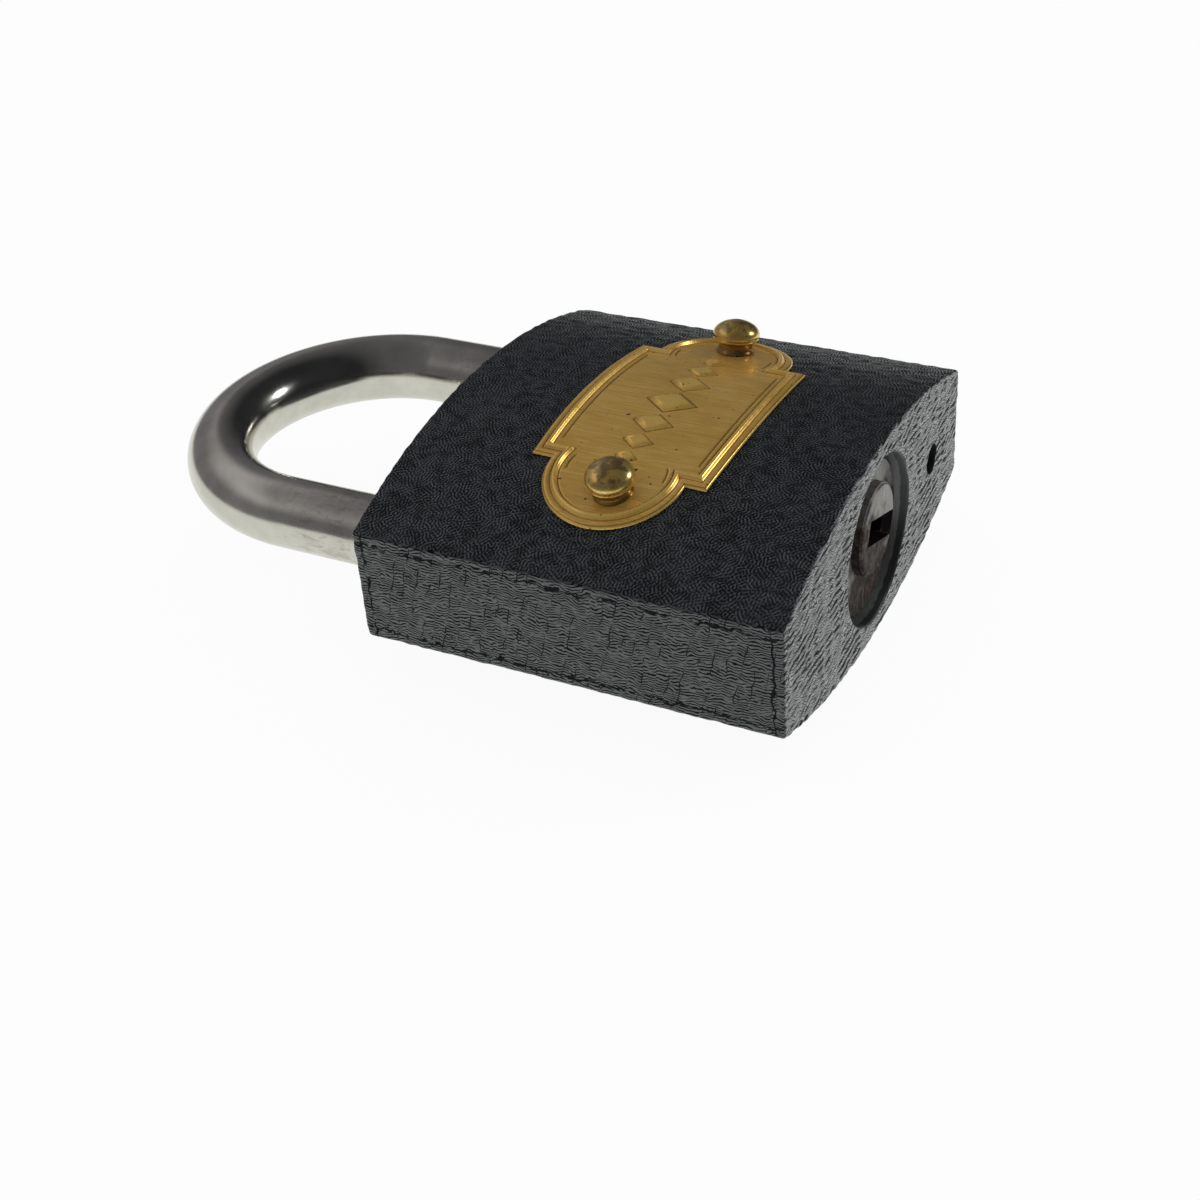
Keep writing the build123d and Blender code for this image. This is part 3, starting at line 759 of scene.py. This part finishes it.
def ramp(tree, factor, *stops):
    """Colours along a factor, from stops of a place and a colour."""
    node = add(tree, "ShaderNodeValToRGB", {"Fac": factor})
    points = node.color_ramp.elements
    while len(points) < len(stops):
        points.new(0.5)
    for point, (where, colour) in zip(points, stops):
        point.position = where
        point.color = (*colour, 1)
    return node.outputs["Color"]


def spread(tree, value, old, new, steps="LINEAR"):
    """A value taken from an old range to a new one, and held inside it."""
    inputs = {"Value": value, "From Min": old[0], "From Max": old[1], "To Min": new[0], "To Max": new[1]}
    return add(tree, "ShaderNodeMapRange", inputs, interpolation_type=steps).outputs["Result"]


def combine(tree, operation, a, b):
    return add(tree, "ShaderNodeMath", {0: a, 1: b}, operation=operation).outputs[0]


def times(tree, a, b):
    return combine(tree, "MULTIPLY", a, b)


def plus(tree, a, b):
    return combine(tree, "ADD", a, b)


def most(tree, a, b):
    return combine(tree, "MAXIMUM", a, b)


def unsigned(tree, value):
    return combine(tree, "ABSOLUTE", value, 0.0)


def length_of(tree, vector):
    return add(tree, "ShaderNodeVectorMath", {0: vector}, operation="LENGTH").outputs["Value"]


def mix(tree, factor, a, b):
    """A number mixed from two by a factor."""
    return add(tree, "ShaderNodeMix", {0: factor, 2: a, 3: b}, data_type="FLOAT").outputs[0]


def blend(tree, factor, a, b):
    """A colour mixed from two by a factor."""
    return add(tree, "ShaderNodeMix", {0: factor, 6: a, 7: b}, data_type="RGBA").outputs[2]


def bump(tree, height, depth_mm, normal=None):
    """A surface normal from a height of 0 to 1 that stands for a depth in millimetres."""
    inputs = {"Height": height, "Distance": depth_mm * MM, "Strength": 1.0}
    if normal is not None:
        inputs["Normal"] = normal
    return add(tree, "ShaderNodeBump", inputs).outputs["Normal"]


def dot(tree, vector, direction):
    inputs = {0: vector, 1: direction}
    return add(tree, "ShaderNodeVectorMath", inputs, operation="DOT_PRODUCT").outputs["Value"]


def axis_of(tree, vector, axis):
    return add(tree, "ShaderNodeSeparateXYZ", {0: vector}).outputs[axis]


def stripes(tree, run, spacing_mm):
    """Values from 0 to 1 that rise and fall once in each spacing along a run in metres."""
    phase = times(tree, run, 2 * math.pi / (spacing_mm * MM))
    return spread(tree, combine(tree, "SINE", phase, 0.0), (-1, 1), (0, 1))


def grooves(tree, run, spacing_mm, mask):
    """Depth from 0 to 1 of grooves along a run, deep where a mask is high."""
    crest = spread(tree, stripes(tree, run, spacing_mm), GROOVE_FLANKS, (0.0, 1.0), "SMOOTHSTEP")
    return times(tree, combine(tree, "SUBTRACT", 1.0, crest), mask)


def band(tree, value, middle_mm, half_mm):
    """1 where a value in metres is near a middle, falling to 0 at a half width from it."""
    off = unsigned(tree, combine(tree, "SUBTRACT", value, middle_mm * MM))
    return spread(tree, off, (0.4 * half_mm * MM, half_mm * MM), (1.0, 0.0), "SMOOTHSTEP")


def over_bow(tree, here):
    """Height above the body's bowed front, in metres."""
    centred = moved(tree, here, (0, 0, -(ROW_SHIFT[2] + face_centre_z)), (1, 0, 1))
    return combine(tree, "SUBTRACT", length_of(tree, centred), face_radius * MM)


def wrinkle_paint():
    """Black wrinkle paint: crooked ridges on the faces, short lines on the sides and creases on the ends."""
    material, tree, shader = new_material(
        "wrinkle_paint", coat_roughness=0.3, coat_ior=1.7, specular_tint=PAINT_TINT)
    coords = add(tree, "ShaderNodeTexCoord").outputs
    here = coords["Object"]
    facing = [unsigned(tree, axis_of(tree, coords["Normal"], axis)) for axis in range(3)]
    on_side, on_end, on_face = [combine(tree, "GREATER_THAN", size, 0.7) for size in facing]
    wander = spread(tree, noise(tree, here, 2.6, 2.0), (0.2, 0.8), (-0.0006, 0.0006))
    jitter = spread(tree, noise(tree, here, 0.7, 1.0), (0.2, 0.8), (-0.00018, 0.00018))
    drift = plus(tree, wander, jitter)
    patches = noise(tree, here, 1.6, 3.0)
    bundles = noise(tree, moved(tree, here, stretch=(0.45, 0.45, 1)), 1.3, 2.0)

    def by_side(side, face, end):
        return mix(tree, on_end, mix(tree, on_face, side, face), end)

    # Columns on the sides, with their lines slipped and seams between them
    along = plus(tree, dot(tree, here, (1.0, 1.0, 0.25)), times(tree, wander, 0.6))
    columns = combine(tree, "DIVIDE", along, COLUMN_WIDTH * MM)
    column = combine(tree, "FLOOR", columns, 0.0)
    slip = add(tree, "ShaderNodeTexWhiteNoise", {"W": column}, noise_dimensions="1D").outputs["Value"]
    side_run = plus(tree, dot(tree, here, WRINKLE_SIDE), times(tree, slip, RIDGE_SPACING * MM))
    off_middle = unsigned(tree, combine(tree, "SUBTRACT", combine(tree, "FRACT", columns, 0.0), 0.5))
    seam = spread(tree, off_middle, (0.41, 0.5), (0.0, 1.0), "SMOOTHSTEP")
    seamed = times(tree, seam, spread(tree, patches, (0.4, 0.62), (0.0, 0.8)))
    seams = times(tree, seamed, on_side)

    # Long grooves beside the edges
    body_middle = (0, -(ROW_SHIFT[1] + BODY_HEIGHT / 2), -ROW_SHIFT[2])
    centred = moved(tree, here, shift_mm=body_middle)
    wobble = plus(tree, times(tree, wander, 0.6), times(tree, jitter, 1.5))
    low_high = plus(tree, unsigned(tree, axis_of(tree, centred, 2)), wobble)
    near_far = plus(tree, unsigned(tree, axis_of(tree, centred, 1)), wobble)
    rim_long = band(tree, low_high, EDGE_THICKNESS / 2 - RIM_GROOVE, RIM_GROOVE_HALF)
    rim_short = band(tree, near_far, BODY_HEIGHT / 2 - RIM_GROOVE, RIM_GROOVE_HALF)
    rim_depth = times(tree, spread(tree, patches, (0.32, 0.52), (0.25, 0.8)), on_side)
    rim = times(tree, most(tree, rim_long, rim_short), rim_depth)

    # Ridges: crooked on the faces, drawn out along the ends and sides
    x, y, z = [axis_of(tree, here, axis) for axis in range(3)]
    wavy = plus(tree, z, times(tree, drift, 0.6))
    slipped = plus(tree, wavy, times(tree, slip, RIDGE_SPACING * MM))
    on_ends = [times(tree, a, share) for a, share in zip((x, z), END_STRETCH)]
    on_sides = [times(tree, a, share) for a, share in zip((y, slipped), SIDE_STRETCH)]
    u, v = [mix(tree, on_side, mix(tree, on_end, a, b), c) for a, b, c in zip((x, y), on_ends, on_sides)]
    flat = add(tree, "ShaderNodeCombineXYZ", {"X": u, "Y": v}).outputs["Vector"]
    order = mix(tree, on_side, mix(tree, on_end, FACE_ORDER, END_ORDER), SIDE_ORDER)
    crook = add(tree, "ShaderNodeTexGabor", {
        "Vector": flat, "Scale": 1 / (CROOK_CELL * MM), "Frequency": CROOK_LINES,
        "Anisotropy": order, "Orientation": math.pi / 2}, gabor_type="2D").outputs["Value"]
    depth = spread(tree, bundles, (0.42, 0.62), (0.8, 1.0))
    fine = grooves(tree, plus(tree, side_run, drift), RIDGE_SPACING, END_LINES)
    lifted = plus(tree, crook, times(tree, on_side, SIDE_LIFT))
    crooked = times(tree, spread(tree, lifted, FACE_FLANKS, (1.0, 0.0), "SMOOTHSTEP"), depth)
    main = mix(tree, on_end, crooked, fine)
    across = plus(tree, dot(tree, here, WRINKLE_ACROSS), drift)
    woven = grooves(tree, across, 1.2 * RIDGE_SPACING, spread(tree, patches, (0.5, 0.66), (0.0, 0.45)))

    # Folds on the sides, lumps on the faces and creases on the ends
    folds = noise(tree, moved(tree, here, stretch=FOLD_STRETCH), FOLD_GRAIN, 2.0)
    lumps = noise(tree, moved(tree, here, stretch=FACE_LUMP), FACE_LUMP_GRAIN, 2.0)
    uneven = plus(tree, crook, spread(tree, patches, (0.3, 0.7), (-0.13, 0.13)))
    hollows = spread(tree, uneven, (0.28, 0.56), (0.78, 0.0))
    creases = times(tree, hollows, on_end)

    deepest = most(tree, most(tree, main, woven), most(tree, seams, rim))
    height = combine(tree, "SUBTRACT", 1.0, most(tree, deepest, creases))
    fold_depth = by_side(FOLD_DEPTH * MM, FACE_FOLD_DEPTH * MM, END_FOLD_DEPTH * MM)
    swell = times(tree, by_side(folds, lumps, crook), fold_depth)
    relief = plus(tree, times(tree, height, PAINT_RELIEF * MM), swell)
    shine = spread(tree, height, (0.4, 0.8), (0.0, 1.0))
    # Base colour: the paint darkens down the grooves, creases and rim lines as painted shade, the hollows
    # between the lumps on the faces get painted shade, and the faces take a lighter copy of the paint than
    # the sides and ends, as painted light
    side_colour = ramp(tree, height, (0.0, SHADED_GROOVE_PAINT), (0.6, PAINT_SLOPE), (1.0, PAINT_RIDGE))
    lit_face_colour = ramp(tree, height, (0.0, SHADED_FACE_GROOVE), (1.0, LIT_FACE_RIDGE))
    hollow_shade = spread(tree, lumps, (0.36, 0.56), (0.85, 0.0))
    colour = blend(tree, on_face, side_colour, blend(tree, hollow_shade, lit_face_colour, SHADED_HOLLOW_PAINT))
    feed(shader, "Base Color", colour)
    feed(shader, "Roughness", spread(tree, height, (0, 1), (0.6, 0.33)))
    feed(shader, "Specular IOR Level", spread(tree, shine, (0, 1), (0.06, 0.5)))
    gloss = by_side(SIDE_GLOSS, FACE_GLOSS, END_GLOSS)
    feed(shader, "Coat Weight", times(tree, shine, gloss))
    feed(shader, "Normal", bump(tree, relief, 1 / MM))
    return material


def bore_wall():
    """The bore's wall: near black for the first 0.8 to 0.95 mm from the mouth, then bare metal with turning
    marks.
    """
    material, tree, shader = new_material("bore_wall")
    here = place(tree)
    ragged = noise(tree, here, 1.2)
    depth = plus(tree, axis_of(tree, here, 1), spread(tree, ragged, (0.3, 0.7), (-0.00012, 0.00012)))
    mouth = ROW_SHIFT[1] * MM
    bare = spread(tree, depth, (mouth + 0.8 * MM, mouth + 0.95 * MM), (0.0, 1.0))
    grain = noise(tree, moved(tree, here, stretch=(1, 9, 1)), 0.9)
    metal = ramp(tree, grain, (0.3, (0.09, 0.092, 0.09)), (0.7, (0.15, 0.153, 0.148)))
    feed(shader, "Base Color", blend(tree, bare, (0.008, 0.008, 0.009, 1), metal))
    feed(shader, "Metallic", spread(tree, bare, (0, 1), (0.0, 0.75)))
    feed(shader, "Roughness", spread(tree, grain, (0.3, 0.7), (0.38, 0.55)))
    feed(shader, "Normal", bump(tree, grain, 0.02))
    return material


def shackle_steel():
    """Bright plating on a drawn bar, with faint draw lines on the legs and brown stains near the body."""
    material, tree, shader = new_material("shackle_steel", metallic=1.0)
    here = place(tree)
    along = moved(tree, here, stretch=(1, 0.08, 1))
    lines = noise(tree, along, 0.28, 2.0)
    cloud = noise(tree, here, 3.2, 4.0)
    legs = spread(tree, axis_of(tree, here, 1), (0.012, 0.021), (1.0, 0.0), "SMOOTHSTEP")
    specks = noise(tree, moved(tree, here, stretch=(1, 0.35, 1)), 0.7, 4.0, 0.65)
    stain = times(tree, spread(tree, specks, (0.5, 0.72), (0.0, 0.75)), legs)
    plating = ramp(tree, cloud, (0.3, (0.53, 0.515, 0.455)), (0.7, (0.64, 0.62, 0.55)))
    feed(shader, "Base Color", blend(tree, stain, plating, (0.3, 0.25, 0.21, 1)))
    shine = plus(tree, spread(tree, cloud, (0.3, 0.7), (0.15, 0.22)), spread(tree, stain, (0, 1), (0.0, 0.2)))
    feed(shader, "Roughness", shine)
    ridged = bump(tree, times(tree, lines, legs), 0.006)
    feed(shader, "Normal", bump(tree, cloud, 0.02, ridged))
    return material


def badge_brass():
    """Pressed brass sheet brushed across the badge, with pits and tarnish, painted highlights on its raised
    tops and edges and painted shade in the creases beside the bead.
    """
    material, tree, shader = new_material("badge_brass", metallic=0.66)
    here = place(tree)
    brushed = noise(tree, moved(tree, here, stretch=(1, 0.035, 1)), 0.13, 3.0, 0.6)
    long_lines = noise(tree, moved(tree, here, stretch=(1, 0.05, 1)), 0.5, 2.0)
    tarnish = noise(tree, here, 5.0, 5.0, 0.6)
    pits = noise(tree, here, 0.55, 1.0)
    pit = spread(tree, pits, (0.735, 0.76), (0.0, 1.0))
    sheet = ramp(tree, tarnish, *BADGE_COLOURS)
    lined = blend(tree, spread(tree, brushed, (0.35, 0.65), (0.0, 0.54)), sheet, (0.54, 0.3, 0.06, 1))
    flat_top = BADGE_GAP + BADGE_THICKNESS
    lift = over_bow(tree, here)
    # Painted highlight: the raised bead and lozenge tops and the bevelled edge are lightened towards bright
    # brass; the lower roughness there stands for real polish from rubbing
    raised = spread(tree, lift, ((flat_top + 0.08) * MM, (flat_top + 0.24) * MM), (0.0, 0.6))
    edge = spread(tree, lift, ((flat_top - 0.16) * MM, (flat_top - 0.11) * MM), (0.6, 0.0))
    wear_and_highlight = most(tree, raised, edge)
    highlighted_sheet = blend(tree, wear_and_highlight, lined, (0.97, 0.64, 0.16, 1))
    # Painted shade: the sunk foot beside the bead is darkened
    crease = times(tree, band(tree, lift, flat_top - 0.075, 0.05), 0.7)
    crease_shaded = blend(tree, crease, highlighted_sheet, (0.2, 0.1, 0.02, 1))
    feed(shader, "Base Color", blend(tree, pit, crease_shaded, (0.12, 0.06, 0.02, 1)))
    gloss = spread(tree, long_lines, (0.3, 0.7), (0.25, 0.36))
    feed(shader, "Roughness", combine(tree, "SUBTRACT", gloss, times(tree, wear_and_highlight, 0.1)))
    feed(shader, "Normal", bump(tree, brushed, 0.01))
    return material


def rivet_brass():
    """Bright rolled brass with tarnish and painted dark reflection on the dome top, and painted shade on the
    neck below the head.
    """
    material, tree, shader = new_material("rivet_brass", metallic=0.89)
    here = place(tree)
    cloud = noise(tree, here, 1.6, 2.0, 0.5)
    fine = noise(tree, here, 0.25, 2.0)
    colour = ramp(tree, cloud, (0.3, (0.6, 0.37, 0.085)), (0.5, (0.9, 0.61, 0.17)), (0.7, (0.96, 0.71, 0.24)))
    seat = BADGE_GAP + BADGE_THICKNESS
    lift = over_bow(tree, here)
    # Painted shade: the neck, low below the head, is darkened where the head shades it
    shade_below_head = spread(tree, lift, ((seat + 0.9) * MM, (seat + 1.5) * MM), (0.85, 0.0))
    # Dark blots on the dome top: tarnish, and painted dark reflection
    top = spread(tree, lift, ((seat + 1.9) * MM, (seat + 2.9) * MM), (0.0, 1.0))
    tarnish_and_reflection = spread(tree, noise(tree, here, 1.15, 2.0), (0.47, 0.56), (0.0, 0.68))
    darkened_dome = blend(tree, times(tree, tarnish_and_reflection, top), colour, (0.21, 0.145, 0.095, 1))
    feed(shader, "Base Color", blend(tree, shade_below_head, darkened_dome, (0.2, 0.11, 0.035, 1)))
    feed(shader, "Roughness", spread(tree, fine, (0.3, 0.7), (0.22, 0.28)))
    feed(shader, "Normal", bump(tree, cloud, 0.04))
    return material


def turned_face(name, axis_z_mm, face_y_mm, radius_mm, stained_toward, shade_patch_mm):
    """A turned end with fine rings and brown stain on one side; its walls are brown, as stain and painted
    shade, and its slot, its deep inside and one round patch are painted black as shade.
    """
    material, tree, shader = new_material(name)
    coords = add(tree, "ShaderNodeTexCoord").outputs
    here = coords["Object"]
    centred = moved(tree, here, shift_mm=(0, 0, -axis_z_mm))
    lathe_marks = {"Vector": centred, "Scale": 1500.0, "Distortion": 1.2, "Detail": 2.0}
    rings = add(tree, "ShaderNodeTexWave", lathe_marks, wave_type="RINGS", rings_direction="Y").outputs["Fac"]
    cloud = noise(tree, here, 2.2, 5.0, 0.62)
    streaks = noise(tree, moved(tree, here, stretch=(1.6, 1, 0.8)), 1.0, 4.0, 0.7)
    stained_side = spread(tree, dot(tree, centred, stained_toward), (-0.0035, 0.0035), (-0.22, 0.34))
    stain = spread(tree, plus(tree, cloud, stained_side), (0.38, 0.64), (0.0, 1.0))
    # Walls, where the surface turns away from the face: brown, partly stain and partly painted shade in the
    # recess
    outward = unsigned(tree, axis_of(tree, coords["Normal"], 1))
    wall = spread(tree, outward, (0.4, 0.6), (1.0, 0.0))
    flat = moved(tree, centred, stretch=(1, 0, 1))
    reach = length_of(tree, flat)
    # Painted shade: the slot's walls, everything deep in the bore and one round patch are painted black
    inside = combine(tree, "LESS_THAN", reach, (radius_mm - 0.15) * MM)
    deep = spread(tree, axis_of(tree, here, 1), ((face_y_mm + 1.2) * MM, (face_y_mm + 1.6) * MM), (0.0, 1.0))
    from_shade_patch = moved(tree, flat, shift_mm=(-shade_patch_mm[0], 0, -shade_patch_mm[1]))
    away = length_of(tree, from_shade_patch)
    shade_patch = spread(tree, away, (1.8 * MM, 3.4 * MM), (1.0, 0.0), "SMOOTHSTEP")
    slot_wall = times(tree, wall, inside)
    black = most(tree, most(tree, slot_wall, deep), shade_patch)
    stain_and_wall_shade = most(tree, stain, times(tree, wall, 0.55))
    metal = ramp(tree, rings, (0.2, (0.205, 0.198, 0.183)), (0.8, (0.305, 0.296, 0.275)))
    mottled = blend(tree, spread(tree, streaks, (0.4, 0.62), (0.55, 0.0)), metal, (0.12, 0.105, 0.088, 1))
    brown = ramp(tree, streaks, *STAIN_AND_SHADE_COLOURS)
    stained_and_shaded = blend(tree, stain_and_wall_shade, mottled, brown)
    feed(shader, "Base Color", blend(tree, black, stained_and_shaded, (0.006, 0.005, 0.005, 1)))
    dull = most(tree, stain_and_wall_shade, black)
    clean = combine(tree, "SUBTRACT", 1.0, black)
    feed(shader, "Metallic", times(tree, spread(tree, dull, (0, 1), (0.9, 0.15)), clean))
    feed(shader, "Roughness", spread(tree, dull, (0, 1), (0.38, 0.6)))
    shine = spread(tree, dull, (0, 1), (0.4, 0.04))
    feed(shader, "Specular IOR Level", times(tree, shine, clean))
    feed(shader, "Normal", bump(tree, plus(tree, rings, streaks), 0.03))
    return material


def worked_metal(name, dark, bright, grain_mm, stretch, rough):
    """Plain worked metal for the pieces inside: drawn, milled or turned grain with a little tarnish."""
    material, tree, shader = new_material(name, metallic=1.0)
    here = place(tree)
    grain = noise(tree, moved(tree, here, stretch=stretch), grain_mm)
    feed(shader, "Base Color", ramp(tree, grain, (0.3, dark), (0.7, bright)))
    feed(shader, "Roughness", spread(tree, grain, (0.3, 0.7), rough))
    feed(shader, "Normal", bump(tree, grain, 0.01))
    return material


# Studio

def make_camera():
    """A camera at the photograph's place, looking the photograph's way."""
    back = Vector((
        math.sin(VIEW_AZIMUTH) * math.cos(VIEW_ELEVATION),
        -math.cos(VIEW_AZIMUTH) * math.cos(VIEW_ELEVATION),
        math.sin(VIEW_ELEVATION),
    ))
    level = (-back).cross(Vector((0, 0, 1))).normalized()
    upright = level.cross(-back)
    up = math.cos(VIEW_ROLL) * upright + math.sin(VIEW_ROLL) * level
    right = (-back).cross(up)
    turn = Matrix((right, up, back)).transposed().to_4x4()
    data = bpy.data.cameras.new("camera")
    data.sensor_fit = "HORIZONTAL"
    data.angle = FIELD_OF_VIEW
    data.clip_start = MM
    camera = link(bpy.data.objects.new("camera", data))
    camera.matrix_world = Matrix.Translation(CAMERA_PLACE) @ turn
    bpy.context.scene.camera = camera


def lamp(name, direction, distance, size, watts, colour):
    """A square soft lamp that faces the lock from a direction."""
    data = bpy.data.lights.new(name, "AREA")
    data.size = size
    data.energy = watts
    data.color = colour
    towards = Vector(direction).normalized()
    obj = link(bpy.data.objects.new(name, data))
    turn = towards.to_track_quat("Z", "Y").to_matrix().to_4x4()
    obj.matrix_world = Matrix.Translation(towards * distance) @ turn


def make_floor():
    """A pale table top that stays white to the camera and still takes a soft shadow."""
    half = FLOOR_HALF
    mesh = bpy.data.meshes.new("floor")
    corners = [(-half, -half, 0), (half, -half, 0), (half, half, 0), (-half, half, 0)]
    mesh.from_pydata(corners, [], [(0, 1, 2, 3)])
    floor = link(bpy.data.objects.new("floor", mesh))
    material = bpy.data.materials.new("floor")
    material.use_nodes = True
    tree = material.node_tree
    tree.nodes.remove(tree.nodes["Principled BSDF"])
    material.cycles.emission_sampling = "NONE"
    rays = add(tree, "ShaderNodeLightPath").outputs
    matt = add(tree, "ShaderNodeBsdfDiffuse", {"Color": FLOOR_COLOUR})
    away = length_of(tree, place(tree))
    far = spread(tree, away, FLOOR_FADE, (0.0, 1.0), "SMOOTHSTEP")
    in_metal = blend(tree, far, FLOOR_IN_METAL, FLOOR_FAR)
    mirrored = most(tree, rays["Is Glossy Ray"], rays["Is Transmission Ray"])
    shown = blend(tree, mirrored, WHITE, in_metal)
    white = add(tree, "ShaderNodeEmission", {"Color": shown, "Strength": 1.0})
    seen = most(tree, rays["Is Camera Ray"], mirrored)
    share = times(tree, seen, FLOOR_GLOW)
    mixed = add(tree, "ShaderNodeMixShader", {0: share, 1: matt.outputs[0], 2: white.outputs[0]})
    tree.links.new(mixed.outputs[0], tree.nodes["Material Output"].inputs["Surface"])
    mesh.materials.append(material)


def make_world():
    """Plain even light, with a dim room in reflections and a white backdrop for the camera."""
    world = bpy.data.worlds.new("room")
    bpy.context.scene.world = world
    world.use_nodes = True
    world.cycles.sampling_method = "NONE"
    tree = world.node_tree
    toward = add(tree, "ShaderNodeTexCoord").outputs["Generated"]
    upward = axis_of(tree, toward, 2)
    wall = spread(tree, dot(tree, toward, LIGHT_WALL), LIGHT_WALL_EDGE, (0.0, 1.0), "SMOOTHSTEP")
    below_ceiling = spread(tree, upward, CEILING_EDGE, (1.0, CEILING_SHARE), "SMOOTHSTEP")
    over_table = spread(tree, upward, TABLE_EDGE, (TABLE_SHARE, 1.0), "SMOOTHSTEP")
    share = times(tree, wall, times(tree, below_ceiling, over_table))
    dim = spread(tree, dot(tree, toward, DIM_WALL), DIM_WALL_EDGE, (0.0, 1.0))
    room = blend(tree, share, blend(tree, dim, ROOM_DARK, ROOM_DIM), ROOM_LIGHT)
    rays = add(tree, "ShaderNodeLightPath").outputs
    light = blend(tree, rays["Is Glossy Ray"], AMBIENT, room)
    shown = blend(tree, rays["Is Camera Ray"], light, WHITE)
    join(tree, tree.nodes["Background"].inputs["Color"], shown)


body = lock_body()
bar = shackle()
sheet = badge()
rivet_ends = (("toe_side", -1), ("heel_side", 1))
rivets = {f"badge_rivet_{end}": rivet(f"rivet_{end}", side) for end, side in rivet_ends}

_, key_y, axis_z = ROW_SHIFT
looks = {
    "wrinkle_paint": wrinkle_paint(),
    "shackle_steel": shackle_steel(),
    "badge_brass": badge_brass(),
    "rivet_brass": rivet_brass(),
    "cylinder_metal": turned_face(
        "cylinder_metal", axis_z, key_y + SHELL_FACE_Y, BORE_RADIUS,
        stained_toward=(0.5, 0.0, -0.87), shade_patch_mm=(6.3, -1.2)),
    "plug_metal": turned_face(
        "plug_metal", axis_z + PLUG_OFFSET, key_y + PLUG_FACE_Y, PLUG_RADIUS,
        stained_toward=(-0.55, 0.0, -0.83), shade_patch_mm=(9.0, -3.3)),
    "bolt_steel": worked_metal(
        "bolt_steel", dark=(0.36, 0.36, 0.37), bright=(0.5, 0.5, 0.5),
        grain_mm=0.4, stretch=(0.1, 1, 1), rough=(0.3, 0.45)),
    "tumbler_brass": worked_metal(
        "tumbler_brass", dark=(0.56, 0.4, 0.15), bright=(0.72, 0.54, 0.24),
        grain_mm=0.3, stretch=(1, 1, 1), rough=(0.3, 0.45)),
    "spring_steel": worked_metal(
        "spring_steel", dark=(0.3, 0.3, 0.32), bright=(0.44, 0.44, 0.46),
        grain_mm=0.2, stretch=(1, 1, 1), rough=(0.25, 0.4)),
}
body.data.materials[0] = looks["wrinkle_paint"]
body.data.materials[1] = bore_wall()
dressed = [(body, "case", "lock_body"), (bar, "shackle", "shackle"), (sheet, "case", "badge_plate")]
dressed += [(piece, "case", node) for node, piece in rivets.items()]
slots = {part["node"]: part["material_slot"] for part in frame["record"]["subparts"]}
for piece, carrier, node in dressed:
    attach(piece, carrier)
    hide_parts(node)
    if piece is not body:
        piece.data.materials.clear()
        piece.data.materials.append(looks[slots[node]])
for i in range(1, TUMBLERS + 1):
    node = f"tumbler_spring_{i}"
    coil = link(bpy.data.objects.new(f"tumbler_coil_{i}", nodes[node].data.copy()))
    coil.data.materials.clear()
    coil.data.materials.append(looks[slots[node]])
    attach(coil, "case")
    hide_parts(node)
    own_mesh(coil)
for node, slot in slots.items():
    nodes[node].data.materials.clear()
    nodes[node].data.materials.append(looks[slot])

make_camera()
make_floor()
make_world()
lamp("window", WINDOW_TOWARDS, WINDOW_DISTANCE, WINDOW_SIZE, WINDOW_WATTS, WINDOW_COLOUR)
bpy.context.scene.view_settings.view_transform = "Standard"
